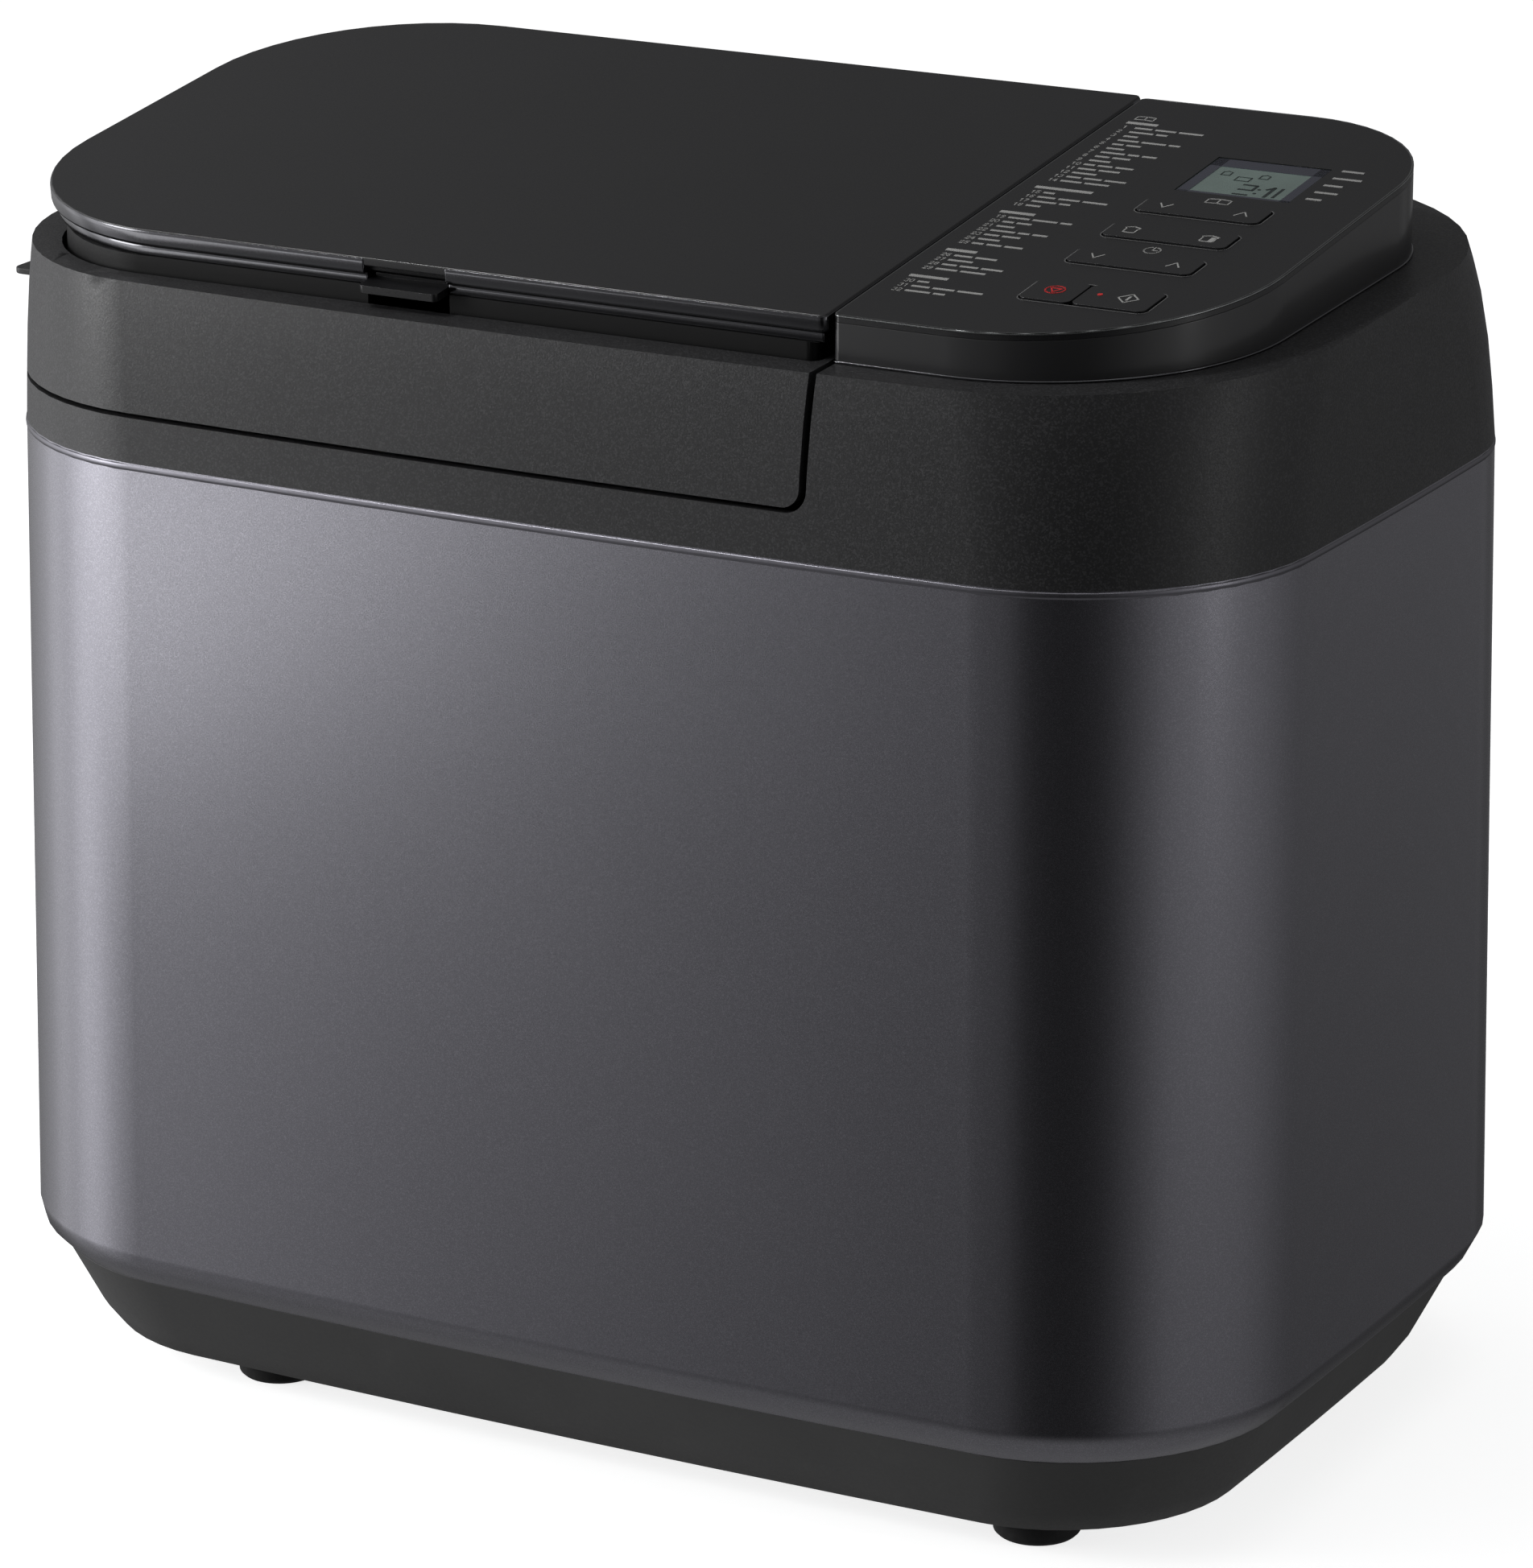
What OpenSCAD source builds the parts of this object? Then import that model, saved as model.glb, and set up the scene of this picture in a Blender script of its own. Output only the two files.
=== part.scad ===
// Bread machine: case, hinged lid with dispenser, kneading drive, pan and control panel.
// Millimetres. X to the right, Y to the back, Z up, feet on z = 0.

/* [Case] */
// Width of the case at its top seam, across the straight sides
case_top_w = 391.6; // [340:1:420]
// Width of the case just above its turned-in lower edge
case_low_w = 397.2; // [345:1:425]
// Depth of the case at its top seam, at the corners of the front face
case_top_d = 239.2; // [200:1:260]
// Depth of the case just above its lower edge
case_low_d = 244.8; // [205:1:265]
// How far the middle of the front and back faces stands out
face_bow = 5.1; // [0:0.1:8]
// Radius of the front corners of the case
case_r_front = 65; // [40:1:80]
// Radius of the back corners of the case
case_r_back = 56.5; // [40:1:80]
// Height of the seam between base tray and case
base_seam_z = 35; // [25:1:50]
// Height of the seam between case and top frame
case_seam_z = 281.8; // [240:1:300]
// Sheet thickness of the case
sheet_t = 0.8; // [0.5:0.1:1.5]
// Wall thickness of the moulded parts
wall_t = 2.5; // [1.5:0.1:4]

/* [Top frame and lid] */
// Height of the top edge of frame and lid skirt at mid depth
rim_z = 337.1; // [300:0.5:360]
// Rise of that edge towards the back, per millimetre
rim_slope = 0.048; // [0:0.002:0.1]
// Height of the ledge the lid skirt closes on
ledge_z = 294.4; // [285:0.2:310]
// Gap between the ledge and the lid skirt
lid_gap = 1.4; // [0.6:0.1:3]
// Where the lid skirt ends, right of the centre
lid_end_x = 80.9; // [60:0.5:100]
// Gap between lid skirt and frame at the right end
end_gap = 2.2; // [1:0.1:4]
// Width of the flat rim around the dispenser well
well_rim_w = 9.2; // [6:0.2:15]

/* [Dispenser cover and control panel] */
// Height of the sloping top surface at mid depth
deck_z = 357.9; // [330:0.5:380]
// Rise of the top surface towards the back, per millimetre
deck_slope = 0.12; // [0:0.005:0.2]
// Left edge of the dispenser cover
cover_left = -193.2; // [-195:0.2:-170]
// Front edge of the dispenser cover
cover_front = -107.3; // [-112:0.1:-95]
// Back edge of the dispenser cover
cover_back = 85.4; // [70:0.2:95]
// Corner radius of the dispenser cover
cover_r = 62; // [30:1:80]
// Thickness of the cover plate
cover_t = 5; // [3:0.2:8]
// Right side of the control housing
panel_right = 182.6; // [160:0.2:190]
// Thickness of the control fascia
fascia_t = 2; // [1.5:0.1:3]

/* [Pan and drive] */
// Centre of the baking chamber, pan and kneading shaft in X
pan_x = -56; // [-70:1:-40]
// Half width of the baking chamber
chamber_hx = 112; // [100:1:125]
// Half depth of the baking chamber
chamber_hy = 96; // [80:1:105]
// Height of the chamber floor
chamber_z = 68; // [60:1:80]
// Height of the rim of the bread pan
pan_top_z = 232; // [180:1:245]
// Radius of the kneading shaft
shaft_r = 4; // [3:0.5:6]
// Radius of the large drive pulley
pulley_r = 45; // [30:1:60]
// Radius of the motor pulley
pinion_r = 9; // [6:1:15]
// Centre of the motor in X
motor_x = 125; // [110:1:140]
// Running clearance between a shaft and its bore
run_gap = 0.05; // [0.02:0.01:0.1]

/* [Feet and tab] */
// Radius of a foot
foot_r = 12.3; // [9:0.1:16]
// Height of a foot below the base tray
foot_h = 6.3; // [4:0.1:10]
// Reach of the lifting tab, left of the centre
tab_x = 205.5; // [200:0.5:212]

/* [Hidden] */
$fn = 64;
corner_seg = 12;
bow_x = case_top_w / 2;
bow_y = 121;
low_z = 46;
seam_in = 6.5;
tray_z = foot_h;
tray_t = 2.5;
screw_r = 2.2;
head_h = 1.5;
fit_gap = 0.2;
deck_a = atan(deck_slope);
rim_a = atan(rim_slope);
centre_x = (tab_x - case_low_w / 2 - face_bow / 2) / 2;
floor_z = 298.5;
plate_z = 290;
frame_deck_z = 283;
hinge_y = 116;
hinge_z = 304;
hinge_x = [-140, 28];
hinge_pin_r = 2.5;
cover_hinge_y = 89;
cover_hinge_z = 352;
cover_hinge_x = [-130, 20];
cover_pin_r = 1.6;
well_back = 82;
tray_x0 = -150;
tray_x1 = -50;
tray_y0 = -45;
tray_y1 = 20;
flap_y = 14;
flap_z = 289.2;
flap_pin_r = 1.5;
cup_x = 14;
cup_y = -8;
cup_r = 20;
valve_y = 7;
belt_z = 27;
belt_h = 7;
chassis_z = 50;
chassis_t = 1.5;
motor_r = 33;
motor_z0 = 52;
motor_z1 = 118;
key_x0 = 122.3;
key_x1 = 159;
key_gap = 0.35;
row_y = [-0.1, -21.1, -42.9];
row_h = 11.4;
pivot_r = 0.8;
pivot_drop = 4;
stop_x = [123, 138];
start_x = [138.6, 160];
press_y = [-78.4, -63.4];
lcd_x = [125, 159.5];
lcd_y = [13.8, 43];
latch_x = [-62, -36];
foot_pos = [[-111.5, -84.6], [135.9, -84.6], [-111.5, 84.6], [135.9, 84.6]];
post_pos = [[-150, -66], [150, -66], [-150, 66], [150, 66]];

// ---- outlines and lofts -------------------------------------------------

function mix(a, b, t) = a + (b - a) * t;

function corner(cx, cy, r, a0) =
  [for (i = [0:corner_seg]) [cx + r * cos(a0 + 90 * i / corner_seg),
                             cy + r * sin(a0 + 90 * i / corner_seg)]];

function between(p, q, n) = [for (i = [1:n - 1]) mix(p, q, i / n)];

// Rounded rectangle, anticlockwise; radii front-left, front-right, back-right, back-left.
function round_rect(x0, x1, y0, y1, r) = concat(
  corner(x0 + r[0], y0 + r[0], r[0], 180),
  between([x0 + r[0], y0], [x1 - r[1], y0], 6),
  corner(x1 - r[1], y0 + r[1], r[1], 270),
  between([x1, y0 + r[1]], [x1, y1 - r[2]], 4),
  corner(x1 - r[2], y1 - r[2], r[2], 0),
  between([x1 - r[2], y1], [x0 + r[3], y1], 6),
  corner(x0 + r[3], y1 - r[3], r[3], 90),
  between([x0, y1 - r[3]], [x0, y0 + r[0]], 4));

function clip1(v) = max(-1, min(1, v));

// Pushes the middle of each side outwards by the bow.
function bowed(pts) = [for (p = pts)
  let (u = clip1(p[0] / bow_x), v = clip1(p[1] / bow_y))
  [p[0] + face_bow / 2 * u * (1 - v * v), p[1] + face_bow * v * (1 - u * u)]];

// Solid through a stack of outlines; each section is [points, height, slope along Y].
module loft(sections) {
  n = len(sections[0][0]);
  m = len(sections);
  pts = [for (s = sections) for (p = s[0]) [p[0], p[1], s[1] + s[2] * p[1]]];
  sides = [for (k = [0:m - 2]) for (i = [0:n - 1])
    let (a = k * n + i, b = k * n + (i + 1) % n)
    for (f = [[a, a + n, b + n], [a, b + n, b]]) f];
  bottom = [for (i = [0:n - 1]) i];
  top = [for (i = [0:n - 1]) m * n - 1 - i];
  polyhedron(points = pts, faces = concat([bottom, top], sides), convexity = 8);
}

function even(r) = [r, r, r, r];

// Case outline between its lower edge (t = 0) and its top seam (t = 1).
function case_outline(t, inset) =
  let (hw = mix(case_low_w, case_top_w, t) / 2 - inset,
       hd = mix(case_low_d, case_top_d, t) / 2 - inset,
       rf = case_r_front - inset, rb = case_r_back - inset)
  bowed(round_rect(-hw, hw, -hd, hd, [rf, rf, rb, rb]));

// Top frame outline between the case seam (t = 0) and the rim (t = 1).
function frame_section(t, inset) =
  let (w = 0.5 * t + 0.5 * t * t * t,
       x0 = -mix(case_top_w / 2, 192.3, w) + inset,
       x1 = mix(case_top_w / 2, 194.7, w) - inset,
       hd = mix(case_top_d / 2, 112.2, w) - inset,
       r = [mix(case_r_front, 55.4, w), mix(case_r_front, 73.9, w),
            mix(case_r_back, 73.9, w), mix(case_r_back, 55.4, w)])
  [bowed(round_rect(x0, x1, -hd, hd, [for (q = r) q - inset])),
   mix(case_seam_z, rim_z, t), rim_slope * t];

module frame_solid(inset) {
  loft([for (t = [0, 0.25, 0.5, 0.75, 0.9, 1]) frame_section(t, inset)]);
}

// Inside of the moulded top shell, open below.
module frame_hollow() {
  translate([0, 0, -wall_t])
    loft(concat([[frame_section(0, wall_t)[0], case_seam_z - 5, 0]],
                [for (t = [0.05, 0.25, 0.5, 0.75, 0.9, 1]) frame_section(t, wall_t)]));
}

module box(x0, x1, y0, y1, z0, z1) {
  translate([x0, y0, z0]) cube([x1 - x0, y1 - y0, z1 - z0]);
}

// Everything left of x_end and above z_low, with a rounded lower corner, front to back.
module lid_zone(x_end, z_low, r) {
  translate([0, 160, 0]) rotate([90, 0, 0]) linear_extrude(320) {
    translate([-260, z_low]) square([x_end + 260 - r, 120]);
    translate([-260, z_low + r]) square([x_end + 260, 120]);
    translate([x_end - r, z_low + r]) circle(r);
  }
}

module prism(pts, z0, z1) {
  translate([0, 0, z0]) linear_extrude(z1 - z0) polygon(pts);
}

module plain_prism(x0, x1, y0, y1, r, z0, z1) {
  prism(round_rect(x0, x1, y0, y1, even(r)), z0, z1);
}

// A thick slab whose top is the sloping top surface, lowered by drop.
module under_deck(drop, depth) {
  translate([0, 0, deck_z]) rotate([deck_a, 0, 0])
    translate([-300, -300, -drop - depth]) cube([600, 600, depth]);
}

// A thick slab whose underside is the plane of the rim, raised by lift.
module over_rim(lift) {
  translate([0, 0, rim_z]) rotate([rim_a, 0, 0])
    translate([-300, -300, lift]) cube([600, 600, 100]);
}

// Places its children on the sloping top surface.
module on_deck() {
  translate([0, 0, deck_z]) rotate([deck_a, 0, 0]) children();
}

// Box on the sloping surface; y given in plan.
module deck_box(x0, x1, y0, y1, z0, z1) {
  k = 1 / cos(deck_a);
  on_deck() box(x0, x1, y0 * k, y1 * k, z0, z1);
}

// Rounded plate on the sloping surface; y given in plan.
module deck_plate(x0, x1, y0, y1, r, z0, z1) {
  k = 1 / cos(deck_a);
  on_deck() plain_prism(x0, x1, y0 * k, y1 * k, r, z0, z1);
}

module x_rod(x0, x1, y, z, r) {
  translate([x0, y, z]) rotate([0, 90, 0]) cylinder(h = x1 - x0, r = r);
}

module at_centre() {
  translate([centre_x, 0, 0]) children();
}

// ---- base ---------------------------------------------------------------

module tray_loft(inset, z_low, z_top) {
  s = inset;
  loft([
    [bowed(round_rect(-173 + s, 173 - s, -98 + s, 98 - s, even(47 - s))), z_low, 0],
    [bowed(round_rect(-178 + s, 178 - s, -103 + s, 103 - s, even(50 - s))), z_low + 2.5, 0],
    [bowed(round_rect(-182.5 + s, 182.5 - s, -107.5 + s, 107.5 - s, even(53 - s))), z_low + 9, 0],
    [bowed(round_rect(-192.1 + s, 192.1 - s, -115.9 + s, 115.9 - s, even(58.5 - s))), z_top, 0]
  ]);
}

module base_tray() {
  color([0.21, 0.21, 0.21]) at_centre() {
    difference() {
      tray_loft(0, tray_z, base_seam_z);
      tray_loft(wall_t, tray_z + tray_t, base_seam_z + 0.01);
      for (x = [-84:14:-14]) box(x, x + 5, -40, 40, 0, 12);
      for (x = [88:14:144]) box(x, x + 5, -40, 40, 0, 12);
      for (p = foot_pos) translate([p[0], p[1], 0]) cylinder(h = 20, r = 4);
      for (p = post_pos) translate([p[0], p[1], 0]) cylinder(h = 20, r = screw_r + 0.2);
      for (p = post_pos) translate([p[0], p[1], 0]) cylinder(h = tray_z + head_h, r = 4.2);
    }
    for (p = post_pos) translate([p[0], p[1], 0]) difference() {
      translate([0, 0, tray_z + tray_t]) cylinder(h = chassis_z - tray_z - tray_t, r = 6);
      cylinder(h = 60, r = screw_r + 0.2);
    }
  }
}

module foot(i) {
  color([0.08, 0.08, 0.08]) at_centre() translate([foot_pos[i][0], foot_pos[i][1], 0]) {
    difference() {
      union() {
        cylinder(h = 1.2, r1 = foot_r - 1.2, r2 = foot_r);
        translate([0, 0, 1.2]) cylinder(h = foot_h - 1.2, r = foot_r);
      }
      translate([0, 0, -1]) cylinder(h = 3, r = 4.5);
    }
    translate([0, 0, foot_h]) cylinder(h = 4, r = 4);
  }
}

module foot_front_left() { foot(0); }
module foot_front_right() { foot(1); }
module foot_back_left() { foot(2); }
module foot_back_right() { foot(3); }

module base_screws() {
  color([0.7, 0.7, 0.72]) at_centre() for (p = post_pos) translate([p[0], p[1], 0]) {
    translate([0, 0, tray_z]) cylinder(h = head_h, r = 4);
    translate([0, 0, tray_z + head_h])
      cylinder(h = chassis_z + chassis_t + 2 - tray_z - head_h, r = screw_r);
  }
}

// ---- case ---------------------------------------------------------------

module case_loft(inset, ext) {
  d = inset;
  loft([
    [bowed(round_rect(-192.1 + d, 192.1 - d, -115.9 + d, 115.9 - d, even(58.5 - d))),
     base_seam_z - ext, 0],
    [bowed(round_rect(-196.6 + d, 196.6 - d, -120.4 + d, 120.4 - d, even(61.5 - d))), 40, 0],
    [case_outline(0, inset), low_z, 0],
    [case_outline(1, inset), case_seam_z + ext, 0]
  ]);
}

module outer_case() {
  color([0.36, 0.36, 0.39]) at_centre() difference() {
    case_loft(0, 0);
    case_loft(sheet_t, 0.01);
    for (z = [88:9:142]) box(86, 134, 110, 130, z, z + 3.5);
    translate([110, 100, 62]) rotate([-90, 0, 0]) cylinder(h = 40, r = 7.1);
  }
}

module top_frame() {
  pr = round_rect(lid_end_x + 12, panel_right - 7, -97, 75, [4, 60, 40, 4]);
  color([0.22, 0.22, 0.22]) at_centre() {
    difference() {
      frame_solid(0);
      frame_hollow();
      lid_zone(lid_end_x + end_gap, ledge_z, 6.2);
      prism(pr, 300, 380);
    }
    // wall beside the lid
    difference() {
      intersection() {
        frame_solid(1);
        box(lid_end_x + end_gap, lid_end_x + end_gap + wall_t, -130, 130, frame_deck_z, 360);
      }
      lid_zone(lid_end_x + end_gap, ledge_z, 6.2);
      prism(pr, 336, 380);
    }
    // deck around the chamber mouth
    intersection() {
      frame_solid(1);
      difference() {
        box(-220, 220, -140, 140, frame_deck_z, frame_deck_z + 3);
        plain_prism(pan_x - chamber_hx - 1, pan_x + chamber_hx + 1,
                    -chamber_hy - 1, chamber_hy + 1, 21, 270, 300);
        plain_prism(92, 172, -80, 80, 30, 270, 300);
      }
    }
  }
}

// ---- inside the base ----------------------------------------------------

module chassis_plate() {
  color([0.72, 0.73, 0.75]) at_centre() difference() {
    plain_prism(-165, 172, -80, 80, 14, chassis_z, chassis_z + chassis_t);
    translate([pan_x, 0, 0]) cylinder(h = 80, r = 13);
    translate([motor_x, 0, 0]) cylinder(h = 80, r = 10);
    for (p = post_pos) translate([p[0], p[1], 0]) cylinder(h = 80, r = screw_r);
    for (a = [0:90:270]) translate([pan_x, 0, 0]) rotate(a + 45) translate([19, 0, 0])
      cylinder(h = 80, r = 1.7);
    for (a = [0:90:270]) translate([motor_x, 0, 0]) rotate(a + 45) translate([26, 0, 0])
      cylinder(h = 80, r = 2);
    plain_prism(20, 74, 40, 70, 5, 40, 60);
    plain_prism(20, 74, -70, -40, 5, 40, 60);
  }
}

module baking_chamber() {
  t = sheet_t;
  hx = chamber_hx;
  hy = chamber_hy;
  color([0.6, 0.6, 0.6]) at_centre() difference() {
    union() {
      plain_prism(pan_x - hx, pan_x + hx, -hy, hy, 20, chamber_z, 286);
      plain_prism(pan_x - hx - 6, pan_x + hx + 6, -hy - 6, hy + 6, 26, 286, 287);
      for (a = [0:90:270]) translate([pan_x, 0, chassis_z + chassis_t]) rotate(a + 45)
        translate([60, 0, 0]) cylinder(h = chamber_z - chassis_z - chassis_t, r = 5);
    }
    plain_prism(pan_x - hx + t, pan_x + hx - t, -hy + t, hy - t, 20 - t, chamber_z + t, 300);
    translate([pan_x, 0, 60]) cylinder(h = 20, r = 19);
    // heater ends and sensor through the right wall
    for (y = [-16, 16]) x_rod(pan_x + hx - 5, pan_x + hx + 5, y, 88, 3.6);
    x_rod(pan_x + hx - 5, pan_x + hx + 5, 40, 150, 4);
  }
}

// Tube heater lying around the pan, its ends leaving through the right wall.
module heater_element() {
  r = 3.2;
  hx = 104;
  hy = 84;
  cr = 22;
  z = 88;
  color([0.32, 0.31, 0.3]) at_centre() translate([pan_x, 0, z]) {
    for (sy = [-1, 1]) x_path(-hx + cr, hx - cr, sy * hy, r);
    rotate([90, 0, 0]) translate([-hx, 0, -hy + cr]) cylinder(h = 2 * (hy - cr), r = r);
    for (q = [[-1, 1, 90], [-1, -1, 180], [1, -1, 270], [1, 1, 0]])
      translate([q[0] * (hx - cr), q[1] * (hy - cr), 0]) rotate(q[2])
        rotate_extrude(angle = 90) translate([cr, 0]) circle(r);
    for (s = [-1, 1]) {
      translate([hx, s * 22, 0]) rotate([-90 * s, 0, 0]) cylinder(h = hy - cr - 22, r = r);
      translate([hx + 6, s * 22, 0]) rotate(s > 0 ? 180 : 90)
        rotate_extrude(angle = 90) translate([6, 0]) circle(r);
      x_path(hx + 6, hx + 22, s * 16, r);
    }
  }
}

module x_path(x0, x1, y, r) {
  translate([x0, y, 0]) rotate([0, 90, 0]) cylinder(h = x1 - x0, r = r);
}

module heater_clips() {
  color([0.75, 0.75, 0.77]) at_centre() for (p = [[-60, -84], [60, -84], [-60, 84], [60, 84]])
    translate([pan_x + p[0], p[1], 0]) difference() {
      box(-4, 4, -5.4, 5.4, chamber_z + sheet_t, 93.4);
      x_rod(-10, 10, 0, 88, 3.2);
      box(-10, 10, -3.2, 3.2, 60, 83);
    }
}

module temperature_sensor() {
  color([0.85, 0.85, 0.83]) at_centre() {
    x_rod(pan_x + chamber_hx - 9, pan_x + chamber_hx + 10, 40, 150, 3);
    x_rod(pan_x + chamber_hx, pan_x + chamber_hx + 3, 40, 150, 6);
  }
}

module pan_socket() {
  color([0.66, 0.66, 0.66]) at_centre() translate([pan_x, 0, 0]) {
    difference() {
      translate([0, 0, chamber_z + sheet_t]) cylinder(h = 9.2, r = 42);
      translate([0, 0, chamber_z]) cylinder(h = 20, r = 34);
    }
    for (a = [90, 210, 330]) rotate(a) {
      box(38.5, 41.5, -5, 5, 77, 86);
      box(34.6, 41.5, -5, 5, 83.4, 86);
    }
  }
}

module drive_bearing() {
  color([0.5, 0.5, 0.52]) at_centre() translate([pan_x, 0, 0]) difference() {
    union() {
      translate([0, 0, 40]) cylinder(h = 26, r = 12.9);
      translate([0, 0, chassis_z - 3]) cylinder(h = 3, r = 24);
    }
    translate([0, 0, 30]) cylinder(h = 50, r = shaft_r + run_gap);
    for (a = [0:90:270]) rotate(a + 45) translate([19, 0, 30]) cylinder(h = 30, r = 1.7);
  }
}

module drive_shaft() {
  color([0.8, 0.8, 0.82]) at_centre() translate([pan_x, 0, 0]) {
    translate([0, 0, 20]) cylinder(h = 54, r = shaft_r);
    translate([0, 0, 72]) cylinder(h = 5, r = 15);
    for (s = [-1, 1]) box(-3, 3, s > 0 ? 7.5 : -13, s > 0 ? 13 : -7.5, 76.5, 84);
  }
}

module drive_pulley() {
  color([0.85, 0.83, 0.76]) at_centre() translate([pan_x, 0, 0]) difference() {
    union() {
      translate([0, 0, belt_z - 1.5]) cylinder(h = 1.5, r = pulley_r + 3);
      translate([0, 0, belt_z]) cylinder(h = belt_h, r = pulley_r);
      translate([0, 0, belt_z + belt_h]) cylinder(h = 1.5, r = pulley_r + 3);
    }
    translate([0, 0, 10]) cylinder(h = 40, r = shaft_r);
    difference() {
      translate([0, 0, belt_z + 3]) cylinder(h = 20, r = pulley_r - 5);
      translate([0, 0, belt_z]) cylinder(h = 20, r = 10);
    }
    for (a = [0:60:300]) rotate(a) translate([25, 0, 10]) cylinder(h = 30, r = 8);
  }
}

// Belt as a band just clear of both pulleys.
module drive_belt() {
  c = motor_x - pan_x;
  r1 = pulley_r + 0.3;
  r2 = pinion_r + 0.3;
  b = asin((r1 - r2) / c);
  t = 1.6;
  color([0.06, 0.06, 0.06]) at_centre() translate([pan_x, 0, belt_z + 0.5])
    linear_extrude(belt_h - 1) difference() {
      polygon(belt_line(c, r1 + t, r2 + t, b));
      polygon(belt_line(c, r1, r2, b));
    }
}

// Line round two pulleys a distance c apart, wrapping each up to its tangent points.
function belt_line(c, r1, r2, b) = concat(
  [for (i = [0:24]) let (a = mix(90 - b, 270 + b, i / 24)) [r1 * cos(a), r1 * sin(a)]],
  [for (i = [0:12]) let (a = mix(b - 90, 90 - b, i / 12)) [c + r2 * cos(a), r2 * sin(a)]]);

module motor() {
  color([0.62, 0.63, 0.65]) at_centre() translate([motor_x, 0, 0]) difference() {
    union() {
      translate([0, 0, motor_z0]) cylinder(h = motor_z1 - motor_z0, r = motor_r);
      translate([0, 0, motor_z0 - 5]) cylinder(h = 6, r = 9.5);
      translate([0, 0, motor_z1]) cylinder(h = 5, r = 12);
    }
    translate([0, 0, 30]) cylinder(h = 110, r = 3 + run_gap);
    for (a = [0:90:270]) rotate(a + 45) translate([26, 0, 40]) cylinder(h = 24, r = 2);
  }
}

module motor_shaft() {
  color([0.8, 0.8, 0.82]) at_centre() translate([motor_x, 0, 22]) cylinder(h = 103, r = 3);
}

module motor_pulley() {
  color([0.7, 0.6, 0.35]) at_centre() translate([motor_x, 0, 0]) difference() {
    union() {
      translate([0, 0, belt_z - 1.5]) cylinder(h = 1.5, r = pinion_r + 3);
      translate([0, 0, belt_z]) cylinder(h = belt_h, r = pinion_r);
      translate([0, 0, belt_z + belt_h]) cylinder(h = 1.5, r = pinion_r + 3);
      translate([0, 0, belt_z + belt_h]) cylinder(h = 6, r = 6);
    }
    translate([0, 0, 10]) cylinder(h = 40, r = 3);
  }
}

module motor_screws() {
  color([0.7, 0.7, 0.72]) at_centre() {
    translate([motor_x, 0, 0]) for (a = [0:90:270]) rotate(a + 45) translate([26, 0, 0]) {
      translate([0, 0, chassis_z]) cylinder(h = 12, r = 2);
      translate([0, 0, chassis_z - 2.5]) cylinder(h = 2.5, r = 3.6);
    }
    translate([pan_x, 0, 0]) for (a = [0:90:270]) rotate(a + 45) translate([19, 0, 0]) {
      translate([0, 0, chassis_z - 3]) cylinder(h = 5, r = 1.7);
      translate([0, 0, chassis_z - 5]) cylinder(h = 2, r = 3);
    }
  }
}

module power_board() {
  color([0.1, 0.3, 0.16]) at_centre() {
    difference() {
      box(78, 160, -88, -86.4, 70, 150);
      for (x = [84, 154]) for (z = [76, 144]) translate([x, -80, z]) rotate([90, 0, 0])
        cylinder(h = 20, r = 1.6);
    }
    box(84, 154, -86.4, -70, chassis_z + chassis_t, chassis_z + chassis_t + 1.2);
    for (x = [84, 146]) box(x, x + 8, -86.4, -84.8, chassis_z + chassis_t, 78);
  }
}

module power_parts() {
  color([0.16, 0.16, 0.18]) at_centre() {
    box(84, 108, -104, -88, 112, 136);
    box(116, 134, -100, -88, 112, 132);
    translate([146, -88, 100]) rotate([90, 0, 0]) cylinder(h = 14, r = 6);
    translate([128, -88, 96]) rotate([90, 0, 0]) cylinder(h = 14, r = 5);
    box(84, 110, -97, -88, 84, 100);
  }
}

module cord_gland() {
  color([0.07, 0.07, 0.07]) at_centre() translate([110, 0, 62]) rotate([-90, 0, 0]) difference() {
    union() {
      translate([0, 0, 118]) cylinder(h = 8.4, r = 7.1);
      translate([0, 0, 125.6]) cylinder(h = 1.8, r = 9.5);
      translate([0, 0, 118]) cylinder(h = 4, r = 9);
    }
    translate([0, 0, 110]) cylinder(h = 30, r = 4.2);
  }
}

// ---- lid hinge ----------------------------------------------------------

module hinge_brackets() {
  color([0.2, 0.2, 0.2]) at_centre() for (x = hinge_x) difference() {
    union() for (s = [-1, 1]) {
      x_rod(x + s * 11 - 2, x + s * 11 + 2, hinge_y, hinge_z, 5.5);
      box(x + s * 11 - 2, x + s * 11 + 2, hinge_y - 5.5, hinge_y + 0.4, frame_deck_z + 3, hinge_z);
    }
    x_rod(x - 20, x + 20, hinge_y, hinge_z, hinge_pin_r);
  }
}

module hinge_pins() {
  color([0.8, 0.8, 0.82]) at_centre() for (x = hinge_x)
    x_rod(x - 13, x + 13, hinge_y, hinge_z, hinge_pin_r);
}

// ---- control panel ------------------------------------------------------

function panel_outline(inset, grow) = round_rect(
  lid_end_x + 1.3 + inset, panel_right - inset + grow, cover_front + 1.9 + inset - grow,
  cover_back - 2.2 - inset + grow,
  [2, 67 - inset, 47.3 - inset, 2]);

module control_housing() {
  color([0.1, 0.1, 0.1]) at_centre() difference() {
    intersection() {
      prism(panel_outline(0, 0), 320, 380);
      under_deck(fascia_t, 60);
      over_rim(0);
    }
    prism(panel_outline(2.2, 0), 300, 400);
  }
}

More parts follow.
